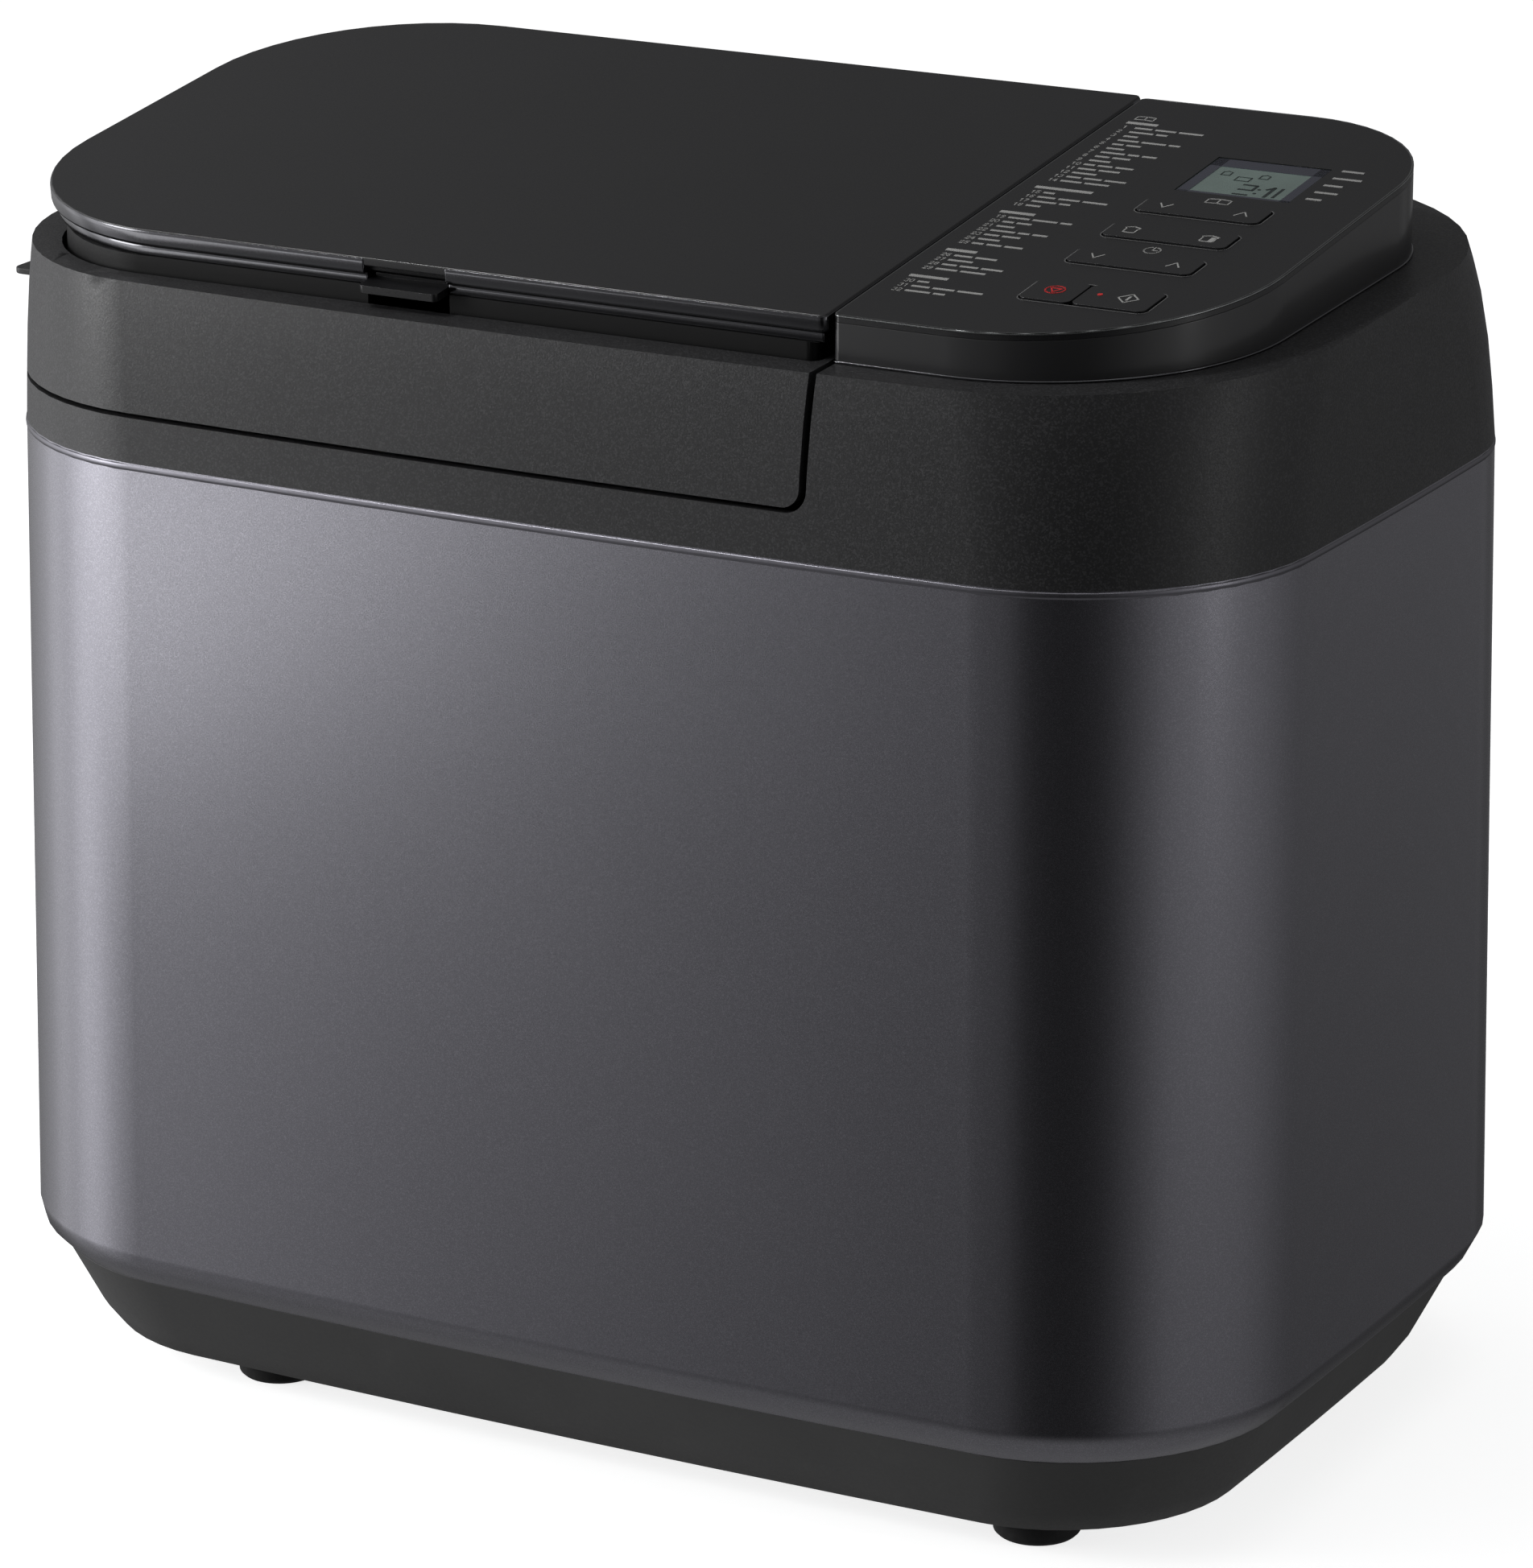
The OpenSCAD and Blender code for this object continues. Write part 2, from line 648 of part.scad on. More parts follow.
module panel_openings(z0, z1) {
  for (y = row_y)
    deck_plate(key_x0 - key_gap, key_x1 + key_gap, y - row_h / 2 - key_gap,
               y + row_h / 2 + key_gap, 2.4, z0, z1);
  deck_plate(stop_x[0] - key_gap, start_x[1] + key_gap, press_y[0] - key_gap,
             press_y[1] + key_gap, 2.4, z0, z1);
  deck_box(lcd_x[0], lcd_x[1], lcd_y[0], lcd_y[1], z0, z1);
}

module control_fascia() {
  mid = (key_x0 + key_x1) / 2;
  color([0.07, 0.07, 0.08]) at_centre() {
    difference() {
      intersection() {
        prism(panel_outline(0, 0), 320, 390);
        under_deck(0, fascia_t);
      }
      panel_openings(-10, 10);
    }
    // lugs that carry the pivot pins of the wide keys
    difference() {
      for (y = row_y) for (s = [-1, 1]) let (c = y / cos(deck_a) + s * (row_h / 2 + 2.3))
        on_deck() box(mid - 2, mid + 2, c - 0.7, c + 0.7, -5.6, -fascia_t + 0.01);
      for (y = row_y) pivot_rod(y, row_h / 2 + 6, pivot_r + run_gap);
    }
  }
}

module lcd_window() {
  color([0.3, 0.38, 0.36]) at_centre()
    deck_box(lcd_x[0], lcd_x[1], lcd_y[0], lcd_y[1], -1.8, -0.3);
}

module lcd_module() {
  color([0.5, 0.55, 0.5]) at_centre() {
    deck_box(lcd_x[0] + 1, lcd_x[1] - 1, lcd_y[0] + 1, lcd_y[1] - 1, -5, -1.8);
    deck_box(lcd_x[0] - 2, lcd_x[1] + 2, lcd_y[0] - 2, lcd_y[1] + 2, -12.4, -5);
  }
}

module control_board() {
  color([0.1, 0.32, 0.18]) at_centre() {
    deck_plate(92, 158, -80, 66, 3, -14, -12.4);
    for (p = [[96, -70], [96, 58], [152, -55.6], [152, 54]])
      on_deck() translate([p[0], p[1], -12.4]) difference() {
        cylinder(h = 10.4, r = 3);
        translate([0, 0, 4]) cylinder(h = 10, r = 1.2);
      }
  }
}

function key_centres() = [
  for (y = row_y) for (x = [127, 154.3]) [x, y],
  [(stop_x[0] + stop_x[1]) / 2, (press_y[0] + press_y[1]) / 2],
  [(start_x[0] + start_x[1]) / 2, (press_y[0] + press_y[1]) / 2]];

module tact_switches() {
  color([0.15, 0.15, 0.16]) at_centre() for (p = key_centres())
    on_deck() translate([p[0], p[1] / cos(deck_a), -12.4]) {
      translate([-3, -3, 0]) cube([6, 6, 3.8]);
      cylinder(h = 5.2, r = 1.6);
    }
}

// Wide rocking key with its retaining flange, pivot pin and two stems.
module wide_key(i) {
  y = row_y[i];
  color([0.1, 0.1, 0.11]) at_centre() {
    deck_plate(key_x0, key_x1, y - row_h / 2, y + row_h / 2, 2.2, -2.8, 0.5);
    deck_plate(key_x0 - 1.2, key_x1 + 1.2, y - row_h / 2 - 1.2, y + row_h / 2 + 1.2, 2.2,
               -3.6, -2.8);
    for (x = [127, 154.3]) on_deck() translate([x, y / cos(deck_a), -6]) cylinder(h = 3, r = 2);
    pivot_rod(y, row_h / 2 + 3, pivot_r);
  }
}

// Rod along the slope through a wide key's pivot, reaching out by half on each side.
module pivot_rod(y, half, r) {
  on_deck() translate([(key_x0 + key_x1) / 2, y / cos(deck_a) - half, -pivot_drop])
    rotate([-90, 0, 0]) cylinder(h = 2 * half, r = r);
}

module key_menu() { wide_key(0); }
module key_size() { wide_key(1); }
module key_timer() { wide_key(2); }

module press_key(xs) {
  y = (press_y[0] + press_y[1]) / 2;
  color([0.1, 0.1, 0.11]) at_centre() {
    deck_plate(xs[0], xs[1], press_y[0], press_y[1], 2.2, -3.4, 0.5);
    deck_box(xs[0] + 1.5, xs[1] - 1.5, press_y[0] - 1.4, press_y[1] + 1.4, -4.2, -3.4);
    on_deck() translate([(xs[0] + xs[1]) / 2, y / cos(deck_a), -6]) cylinder(h = 3, r = 2);
  }
}

module key_stop() { press_key(stop_x); }
module key_start() { press_key(start_x); }

// ---- pan ----------------------------------------------------------------

module pan_shell(inset, z_low, z_top) {
  s = inset;
  loft([
    [round_rect(-84 + s, 84 - s, -56 + s, 56 - s, even(18 - s)), z_low, 0],
    [round_rect(-87 + s, 87 - s, -59 + s, 59 - s, even(20 - s)), z_low + 3, 0],
    [round_rect(-94 + s, 94 - s, -66 + s, 66 - s, even(24 - s)), z_top, 0]
  ]);
}

module bread_pan() {
  color([0.17, 0.17, 0.18]) at_centre() translate([pan_x, 0, 0]) difference() {
    union() {
      pan_shell(0, 92, pan_top_z);
      prism(round_rect(-97, 97, -69, 69, even(27)), pan_top_z - 2, pan_top_z + 0.2);
    }
    pan_shell(1.5, 93.5, pan_top_z + 1);
    translate([0, 0, 80]) cylinder(h = 20, r = 12);
  }
}

// Brackets on the rim that carry the bail.
module pan_lugs() {
  z0 = pan_top_z + 0.2;
  color([0.5, 0.5, 0.51]) at_centre() translate([pan_x, 0, 0]) for (s = [-1, 1]) difference() {
    union() {
      box(s * 95 - 1.5, s * 95 + 1.5, -7, 7, z0, 240);
      x_rod(s * 95 - 1.5, s * 95 + 1.5, 0, 240, 7.2);
    }
    x_rod(s * 95 - 5, s * 95 + 5, 0, 240, 3);
    box(s * 95 - 5, s * 95 + 5, -10, 10, 220, z0);
  }
}

module pan_bearing() {
  color([0.7, 0.7, 0.7]) at_centre() translate([pan_x, 0, 0]) {
    difference() {
      union() {
        translate([0, 0, 84]) cylinder(h = 12, r = 12);
        translate([0, 0, 89.5]) cylinder(h = 2.5, r = 33);
        difference() {
          translate([0, 0, 69.1]) cylinder(h = 21, r = 33);
          translate([0, 0, 68]) cylinder(h = 21.5, r = 30.5);
        }
      }
      translate([0, 0, 70]) cylinder(h = 40, r = shaft_r + run_gap);
    }
    for (a = [90, 210, 330]) rotate(a) box(32, 37.2, -4, 4, 80, 82.8);
  }
}

// Bail lying folded towards the back.
module pan_handle() {
  arm = 72;
  hx = 100;
  r = 2.9;
  color([0.55, 0.55, 0.56]) at_centre() translate([pan_x, 0, 240]) {
    for (s = [-1, 1]) {
      rotate([0, s * 90, 0]) translate([0, 0, 91]) cylinder(h = hx - 91, r = r);
      translate([s * hx, 0, 0]) sphere(r);
      translate([s * hx, 0, 0]) rotate([-90, 0, 0]) cylinder(h = arm - 8, r = r);
      translate([s * (hx - 8), arm - 8, 0]) rotate(s > 0 ? 0 : 90)
        rotate_extrude(angle = 90) translate([8, 0]) circle(r);
    }
    x_path(-hx + 8, hx - 8, arm, r);
  }
}

module pan_shaft() {
  color([0.8, 0.8, 0.82]) at_centre() translate([pan_x, 0, 0]) {
    translate([0, 0, 79]) cylinder(h = 36, r = shaft_r);
    box(-12.5, 12.5, -3.4, 3.4, 78.4, 82.4);
  }
}

module kneading_blade() {
  color([0.2, 0.2, 0.21]) at_centre() translate([pan_x, 0, 0]) {
    difference() {
      union() {
        translate([0, 0, 96.6]) cylinder(h = 18, r1 = 9, r2 = 7.5);
        translate([0, 0, 114.6]) sphere(7.5);
        rotate([90, 0, 0]) translate([0, 0, -2.2]) linear_extrude(4.4)
          polygon([[0, 97], [44, 97], [45, 101], [30, 114], [16, 124], [6, 125], [0, 118]]);
      }
      translate([0, 0, 90]) cylinder(h = 25, r = shaft_r + run_gap);
    }
  }
}

// ---- lid ----------------------------------------------------------------

// Opening of the dispenser well, grown inwards by inset.
function well_outline(inset) = round_rect(
  -192.3 + well_rim_w + inset, lid_end_x - wall_t - inset, -112.2 - 3.4 + well_rim_w + inset,
  well_back - inset, [46 - inset, 3, 3, 46 - inset]);

module lid_skirt() {
  color([0.2, 0.2, 0.2]) at_centre() {
    difference() {
      intersection() {
        frame_solid(0);
        lid_zone(lid_end_x, ledge_z + lid_gap, 5);
      }
      intersection() {
        frame_hollow();
        lid_zone(lid_end_x - wall_t, 280, 0.1);
      }
      prism(well_outline(0), 290, 380);
      hinge_pockets();
    }
    // well wall
    difference() {
      intersection() {
        frame_solid(1);
        prism(well_outline(-1.8), floor_z, 380);
        lid_zone(lid_end_x - 1, floor_z - 5, 0.1);
      }
      prism(well_outline(0), 290, 380);
    }
    // floor of the well
    difference() {
      intersection() {
        frame_solid(1);
        lid_zone(lid_end_x - 1, floor_z, 0.1);
        box(-220, 120, -140, 140, floor_z, floor_z + wall_t);
      }
      lid_holes();
      hinge_pockets();
    }
    // hinge knuckles and their webs
    for (x = hinge_x) difference() {
      union() {
        x_rod(x - 8.6, x + 8.6, hinge_y, hinge_z, 5);
        box(x - 8.6, x + 8.6, 107.5, hinge_y, hinge_z - 4.2, hinge_z + 4.9);
      }
      x_rod(x - 20, x + 20, hinge_y, hinge_z, hinge_pin_r + run_gap);
    }
    // lugs for the dispenser cover, standing on the back of the rim
    for (x = cover_hinge_x) difference() {
      union() for (s = [-1, 1]) {
        x_rod(x + s * 7.5 - 1.5, x + s * 7.5 + 1.5, cover_hinge_y, cover_hinge_z, 3.8);
        box(x + s * 7.5 - 1.5, x + s * 7.5 + 1.5, cover_hinge_y - 3.8, cover_hinge_y + 3.8,
            339, cover_hinge_z);
      }
      x_rod(x - 20, x + 20, cover_hinge_y, cover_hinge_z, cover_pin_r);
    }
  }
}

// Room for the body's hinge ears, and a relieved lower back edge.
module hinge_pockets() {
  for (x = hinge_x) box(x - 14.5, x + 14.5, 109.5, 140, 280, 312);
  box(-230, 120, 104, 140, 280, 299.6);
}

// Holes for the dispenser tray, the yeast cup and the steam vent.
module lid_holes() {
  g = fit_gap;
  box(tray_x0 - g, tray_x1 + g, tray_y0 - g, tray_y1 + g, 280, 320);
  translate([cup_x, cup_y, 280]) cylinder(h = 40, r = cup_r + g);
  translate([pan_x, 60, 280]) cylinder(h = 40, r = 9 + g);
}

module lid_tab() {
  color([0.16, 0.16, 0.16]) at_centre() difference() {
    intersection() {
      plain_prism(-tab_x, -150, -67.5, -12, 3, 316, 317.8);
      box(-tab_x, -150, -70, 0, 300, 330);
    }
    frame_solid(0);
  }
}

module lid_inner_plate() {
  t = 1.2;
  color([0.72, 0.72, 0.74]) at_centre() difference() {
    plain_prism(pan_x - 119, pan_x + 119, -101, 101, 28, plate_z, floor_z);
    plain_prism(pan_x - 119 + t, pan_x + 119 - t, -101 + t, 101 - t, 28 - t, plate_z + t, 330);
    lid_holes();
  }
}

module lid_seal() {
  color([0.3, 0.3, 0.3]) at_centre() difference() {
    plain_prism(pan_x - 117, pan_x + 117, -100, 100, 27, 287.4, plate_z);
    plain_prism(pan_x - 110, pan_x + 110, -93, 93, 20, 280, 300);
  }
}

module steam_vent() {
  color([0.12, 0.12, 0.12]) at_centre() translate([pan_x, 60, 0]) difference() {
    union() {
      translate([0, 0, plate_z + 0.2]) cylinder(h = 34, r = 9);
      translate([0, 0, floor_z + wall_t]) cylinder(h = 2, r = 12);
    }
    translate([0, 0, plate_z - 2]) cylinder(h = 33, r = 7.4);
    for (a = [0:60:300]) rotate(a) translate([4, 0, 310]) cylinder(h = 20, r = 1.2);
  }
}

module dispenser_tray() {
  t = 1.5;
  color([0.25, 0.25, 0.25]) at_centre() difference() {
    union() {
      box(tray_x0, tray_x1, tray_y0, tray_y1, 292.4, 330);
      box(tray_x0 - 3, tray_x1 + 3, tray_y0 - 3, tray_y1 + 3, 328.4, 330);
      for (x = [tray_x0 + 6, tray_x1 - 10]) box(x, x + 4, flap_y - 2.6, flap_y + 3.4, 286.6, 293);
    }
    box(tray_x0 + t, tray_x1 - t, tray_y0 + t, flap_y - 4, 292.2, 340);
    box(tray_x0 + t, tray_x1 - t, tray_y0 + t, tray_y1 - t, 296, 340);
    x_rod(tray_x0, tray_x1, flap_y, flap_z, flap_pin_r + run_gap);
  }
}

// Trapdoor under the tray; its hinge barrel lies along the back edge.
module dispenser_flap() {
  color([0.28, 0.28, 0.28]) at_centre() {
    difference() {
      union() {
        box(tray_x0 + 1, tray_x1 - 1, tray_y0 + 1, flap_y - 1, 290.6, 292);
        box(tray_x0 + 14, tray_x1 - 14, flap_y - 2, flap_y, 289, 291.6);
        x_rod(tray_x0 + 11, tray_x1 - 11, flap_y, flap_z, 2.6);
      }
      for (x = [tray_x0 + 5.6, tray_x1 - 10.4])
        box(x, x + 4.8, flap_y - 3.4, flap_y + 4, 280, 300);
    }
    x_rod(tray_x0 + 3, tray_x1 - 3, flap_y, flap_z, flap_pin_r);
  }
}

module yeast_cup() {
  color([0.85, 0.85, 0.84]) at_centre() {
    difference() {
      union() {
        translate([cup_x, cup_y, 292.6]) cylinder(h = 33.4, r = cup_r);
        translate([cup_x, cup_y, 324]) cylinder(h = 2, r = cup_r + 3);
      }
      translate([cup_x, cup_y, 298]) cylinder(h = 40, r = cup_r - 1.5);
      translate([cup_x, cup_y, 290]) cylinder(h = 40, r = 12);
    }
    for (s = [-1, 1]) difference() {
      box(cup_x + s * 8 - 1, cup_x + s * 8 + 1, valve_y - 2.2, valve_y + 2.2, 287.2, 293.4);
      x_rod(cup_x - 20, cup_x + 20, valve_y, flap_z, 1.2 + run_gap);
    }
  }
}

module yeast_valve() {
  color([0.9, 0.55, 0.2]) at_centre() {
    difference() {
      translate([cup_x, cup_y, 290.8]) cylinder(h = 1.3, r = 13.4);
      box(cup_x - 30, cup_x + 30, valve_y - 2.6, 30, 280, 300);
    }
    box(cup_x - 6, cup_x + 6, valve_y - 3, valve_y, 288.6, 291.4);
    x_rod(cup_x - 6.4, cup_x + 6.4, valve_y, flap_z, 2);
    x_rod(cup_x - 10, cup_x + 10, valve_y, flap_z, 1.2);
  }
}

// ---- dispenser cover ----------------------------------------------------

module cover_hinge_pins() {
  color([0.8, 0.8, 0.82]) at_centre() for (x = cover_hinge_x)
    x_rod(x - 9, x + 9, cover_hinge_y, cover_hinge_z, cover_pin_r);
}

function cover_outline(inset) =
  let (k = 1 / cos(deck_a))
  round_rect(cover_left + inset, lid_end_x - inset, cover_front * k + inset,
             cover_back * k - inset, [cover_r - inset, 2, 2, cover_r - inset]);

module dispenser_cover() {
  color([0.08, 0.08, 0.08]) at_centre() difference() {
    on_deck() translate([0, 0, -cover_t]) linear_extrude(cover_t) polygon(cover_outline(0));
    deck_box(latch_x[0], latch_x[1], -120, cover_front + 3, -8, -2.6);
  }
}

// Carrier under the plate: a second edge strip, and walls that stand in the well.
module cover_frame() {
  color([0.12, 0.12, 0.12]) at_centre() {
    difference() {
      on_deck() translate([0, 0, -cover_t - 3.5]) linear_extrude(3.5)
        polygon(cover_outline(1.6));
      deck_box(latch_x[0], latch_x[1], -120, cover_front + 9, -20, 0);
    }
    difference() {
      intersection() {
        prism(well_outline(1.5), 331, 380);
        under_deck(cover_t + 3.4, 60);
      }
      prism(well_outline(3.7), 300, 400);
      deck_box(latch_x[0], latch_x[1], -120, cover_front + 9, -40, 0);
    }
    // hinge arms
    for (x = cover_hinge_x) difference() {
      union() {
        x_rod(x - 5.6, x + 5.6, cover_hinge_y, cover_hinge_z, 3.6);
        box(x - 5.6, x + 5.6, well_back - 3, cover_hinge_y, cover_hinge_z - 3, cover_hinge_z + 3.4);
      }
      x_rod(x - 20, x + 20, cover_hinge_y, cover_hinge_z, cover_pin_r + run_gap);
    }
  }
}

module cover_latch() {
  x0 = latch_x[0] + 0.6;
  x1 = latch_x[1] - 0.6;
  color([0.14, 0.14, 0.14]) at_centre() {
    deck_plate(x0, x1, cover_front - 4.6, cover_front + 6.4, 1.4, -8.6, -6.4);
    deck_box(x0 + 0.8, x1 - 0.8, cover_front + 3.6, cover_front + 6.2, -6.6, -5.4);
    deck_box(x0 + 6, x1 - 6, cover_front + 3.6, cover_front + 6.2, -12, -8.4);
  }
}

// ---- selection ----------------------------------------------------------

base_tray();
foot_front_left();
foot_front_right();
foot_back_left();
foot_back_right();
base_screws();
outer_case();
top_frame();
chassis_plate();
baking_chamber();
heater_element();
heater_clips();
temperature_sensor();
pan_socket();
drive_bearing();
drive_shaft();
drive_pulley();
drive_belt();
motor();
motor_shaft();
motor_pulley();
motor_screws();
power_board();
power_parts();
cord_gland();
hinge_brackets();
hinge_pins();
control_housing();
control_fascia();
lcd_window();
lcd_module();
control_board();
tact_switches();
key_menu();
key_size();
key_timer();
key_stop();
key_start();
bread_pan();
pan_lugs();
pan_bearing();
pan_handle();
pan_shaft();
kneading_blade();
lid_skirt();
lid_tab();
lid_inner_plate();
lid_seal();
steam_vent();
dispenser_tray();
dispenser_flap();
yeast_cup();
yeast_valve();
cover_hinge_pins();
dispenser_cover();
cover_frame();
cover_latch();
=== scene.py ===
"""Bread machine: finishes, fine edges, panel print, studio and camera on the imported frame."""
import math

import bpy
from mathutils import Matrix, Vector


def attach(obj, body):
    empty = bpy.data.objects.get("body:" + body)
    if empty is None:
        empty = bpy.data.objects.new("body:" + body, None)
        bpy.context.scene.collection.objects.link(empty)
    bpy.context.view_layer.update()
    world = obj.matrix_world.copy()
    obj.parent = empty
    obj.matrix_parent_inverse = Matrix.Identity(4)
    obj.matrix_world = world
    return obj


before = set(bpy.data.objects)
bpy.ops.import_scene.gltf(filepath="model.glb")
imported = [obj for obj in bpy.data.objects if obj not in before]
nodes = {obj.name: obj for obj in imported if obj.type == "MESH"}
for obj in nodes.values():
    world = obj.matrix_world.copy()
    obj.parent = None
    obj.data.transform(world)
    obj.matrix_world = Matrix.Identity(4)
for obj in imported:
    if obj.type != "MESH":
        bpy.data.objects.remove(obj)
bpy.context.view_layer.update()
scene = bpy.context.scene

# Dimensions in millimetres, the same as the design's.
CENTRE_X = 2.175  # moves the design into the row frame
CASE_TOP = (391.6, 239.2)  # width and depth of the case at its top seam
CASE_LOW = (397.2, 244.8)  # the same at its lower edge
CASE_LOW_Z = 46.0
SEAM_TOP = 281.8
BOW = 5.1  # how far the front and back bulge
BOW_HALF_DEPTH = 121.0
R_FRONT = 65.0
R_BACK = 56.5
RIM_Z = 337.1  # height of the frame's rim at mid depth
RIM_SLOPE = 0.048
DECK_Z = 357.9  # height of the sloping top at mid depth
DECK_SLOPE = 0.12
DECK_A = math.atan(DECK_SLOPE)
COVER = (-193.2, 80.9, -107.3, 85.4)  # cover plate: left, right, front, back
COVER_R = 62.0
PANEL = (82.2, 182.6, -105.4, 83.2)  # control housing: left, right, front, back
PANEL_R = (67.0, 47.3)  # its front right and back right corners
SMALL_R = 2.0  # corners along the gap between cover and panel
LATCH_X = (-62.0, -36.0)  # recess of the cover's latch
ROWS = (-0.1, -21.1, -42.9)  # middles of the three wide keys
KEY_X = (122.3, 159.0)  # their left and right ends
KEY_HALF = 5.7  # half their depth
PRESS_X = (123.0, 160.0)  # the stop and start keys together: left, right
PRESS_Y = (-78.4, -63.4)  # their front and back

# Places of the prints, chosen from the photo.
PRESS_MID = -70.4  # middle of the signs on the stop and start keys
WINDOW = (125.3, 159.2, 14.2, 42.6)  # border on the display glass: left, right, front, back
# Heights of the foot and top of each print, above the panel.
ON_PANEL = (0.0, 0.07)
ON_KEY = (0.5, 0.58)
LINE = 0.42  # width of the lines on the keys


# ---- outlines, the same as the design's -------------------------------------

def mix(a, b, t):
    return a + (b - a) * t


def round_rect(x0, x1, y0, y1, r, seg=24, side=10):
    """Anticlockwise rounded rectangle; radii front-left, front-right, back-right, back-left."""
    def arc(cx, cy, rad, a0):
        return [(cx + rad * math.cos(math.radians(a0 + 90 * i / seg)),
                 cy + rad * math.sin(math.radians(a0 + 90 * i / seg))) for i in range(seg + 1)]

    def run(p, q):
        return [(mix(p[0], q[0], i / side), mix(p[1], q[1], i / side)) for i in range(1, side)]

    return (arc(x0 + r[0], y0 + r[0], r[0], 180) + run((x0 + r[0], y0), (x1 - r[1], y0))
            + arc(x1 - r[1], y0 + r[1], r[1], 270) + run((x1, y0 + r[1]), (x1, y1 - r[2]))
            + arc(x1 - r[2], y1 - r[2], r[2], 0) + run((x1 - r[2], y1), (x0 + r[3], y1))
            + arc(x0 + r[3], y1 - r[3], r[3], 90) + run((x0, y1 - r[3]), (x0, y0 + r[0])))


def bowed(points):
    """Bulges an outline a little on all four sides."""
    out = []
    for x, y in points:
        u = max(-1.0, min(1.0, x / (CASE_TOP[0] / 2)))
        v = max(-1.0, min(1.0, y / BOW_HALF_DEPTH))
        out.append((x + BOW / 2 * u * (1 - v * v), y + BOW * v * (1 - u * u)))
    return out


def case_ring(z, inset):
    """Ring of points round the case at height z, inset from its outer face."""
    t = (z - CASE_LOW_Z) / (SEAM_TOP - CASE_LOW_Z)
    hw = mix(CASE_LOW[0], CASE_TOP[0], t) / 2 - inset
    hd = mix(CASE_LOW[1], CASE_TOP[1], t) / 2 - inset
    rf = R_FRONT - inset
    rb = R_BACK - inset
    return [(x, y, z) for x, y in bowed(round_rect(-hw, hw, -hd, hd, (rf, rf, rb, rb)))]


def on_deck(x, y, z):
    """A point given by x, distance along the slope and height above it."""
    return (x, y * math.cos(DECK_A) - z * math.sin(DECK_A),
            DECK_Z + y * math.sin(DECK_A) + z * math.cos(DECK_A))


def small_corner(inset):
    """Radius of a small corner at an inset, never less than half a millimetre."""
    return SMALL_R - min(inset, 1.5)


def cover_ring(inset, z):
    """Ring round the cover plate, inset from its edge, at height z above its top face."""
    k = 1 / math.cos(DECK_A)
    x0, x1, y0, y1 = COVER
    big = COVER_R - inset
    small = small_corner(inset)
    pts = round_rect(x0 + inset, x1 - inset, y0 * k + inset, y1 * k - inset,
                     (big, small, small, big))
    return [on_deck(x, y, z) for x, y in pts]


def panel_ring(inset, lift, low, slope):
    """Ring round the control housing, lifted from a plane of the given height and slope."""
    x0, x1, y0, y1 = PANEL
    small = small_corner(inset)
    pts = round_rect(x0 + inset, x1 - inset, y0 + inset, y1 - inset,
                     (small, PANEL_R[0] - inset, PANEL_R[1] - inset, small))
    return [(x, y, low + slope * y + lift) for x, y in pts]


# ---- mesh helpers -----------------------------------------------------------

def make(name, verts, faces, body, finish, smooth=True):
    """A mesh object from points in design millimetres, riding on a body."""
    mesh = bpy.data.meshes.new(name)
    mesh.from_pydata([((x + CENTRE_X) / 1000, y / 1000, z / 1000) for x, y, z in verts], [], faces)
    mesh.validate()
    mesh.materials.append(finish)
    mesh.polygons.foreach_set("use_smooth", [smooth] * len(mesh.polygons))
    obj = bpy.data.objects.new(name, mesh)
    scene.collection.objects.link(obj)
    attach(obj, body)


def opened(rings, gap):
    """Cuts a gap between two values of x out of the front of equal closed rings.
    A second point close to each end keeps the shading there even."""
    first = rings[0]
    n = len(first)
    lowest = min(y for _, y, _ in first)
    front = [i for i in range(n) if first[i][1] < lowest + 0.01]
    left = max((i for i in front if first[i][0] < gap[0] - 1), key=lambda i: first[i][0])
    right = min((i for i in front if first[i][0] > gap[1] + 1), key=lambda i: first[i][0])

    def on_front(ring, x):
        a, b = ring[left], ring[right]
        t = (x - a[0]) / (b[0] - a[0])
        return tuple(mix(p, q, t) for p, q in zip(a, b))

    return [[on_front(ring, gap[1]), on_front(ring, gap[1] + 0.3)]
            + [ring[(right + k) % n] for k in range((left - right) % n + 1)]
            + [on_front(ring, gap[0] - 0.3), on_front(ring, gap[0])] for ring in rings]


def hoop(name, rings, body, finish, gap=None):
    """A band swept round equal rings; the rings are its cross-section in order.
    With a gap it is left open between two values of x at the front, its ends capped."""
    if gap:
        rings = opened(rings, gap)
    n, m = len(rings[0]), len(rings)
    verts = [p for ring in rings for p in ring]
    faces = [(k * n + i, k * n + (i + 1) % n, (k + 1) % m * n + (i + 1) % n, (k + 1) % m * n + i)
             for k in range(m) for i in range(n - 1 if gap else n)]
    if gap:
        faces += [tuple(k * n for k in range(m)), tuple(k * n + n - 1 for k in reversed(range(m)))]
    make(name, verts, faces, body, finish)


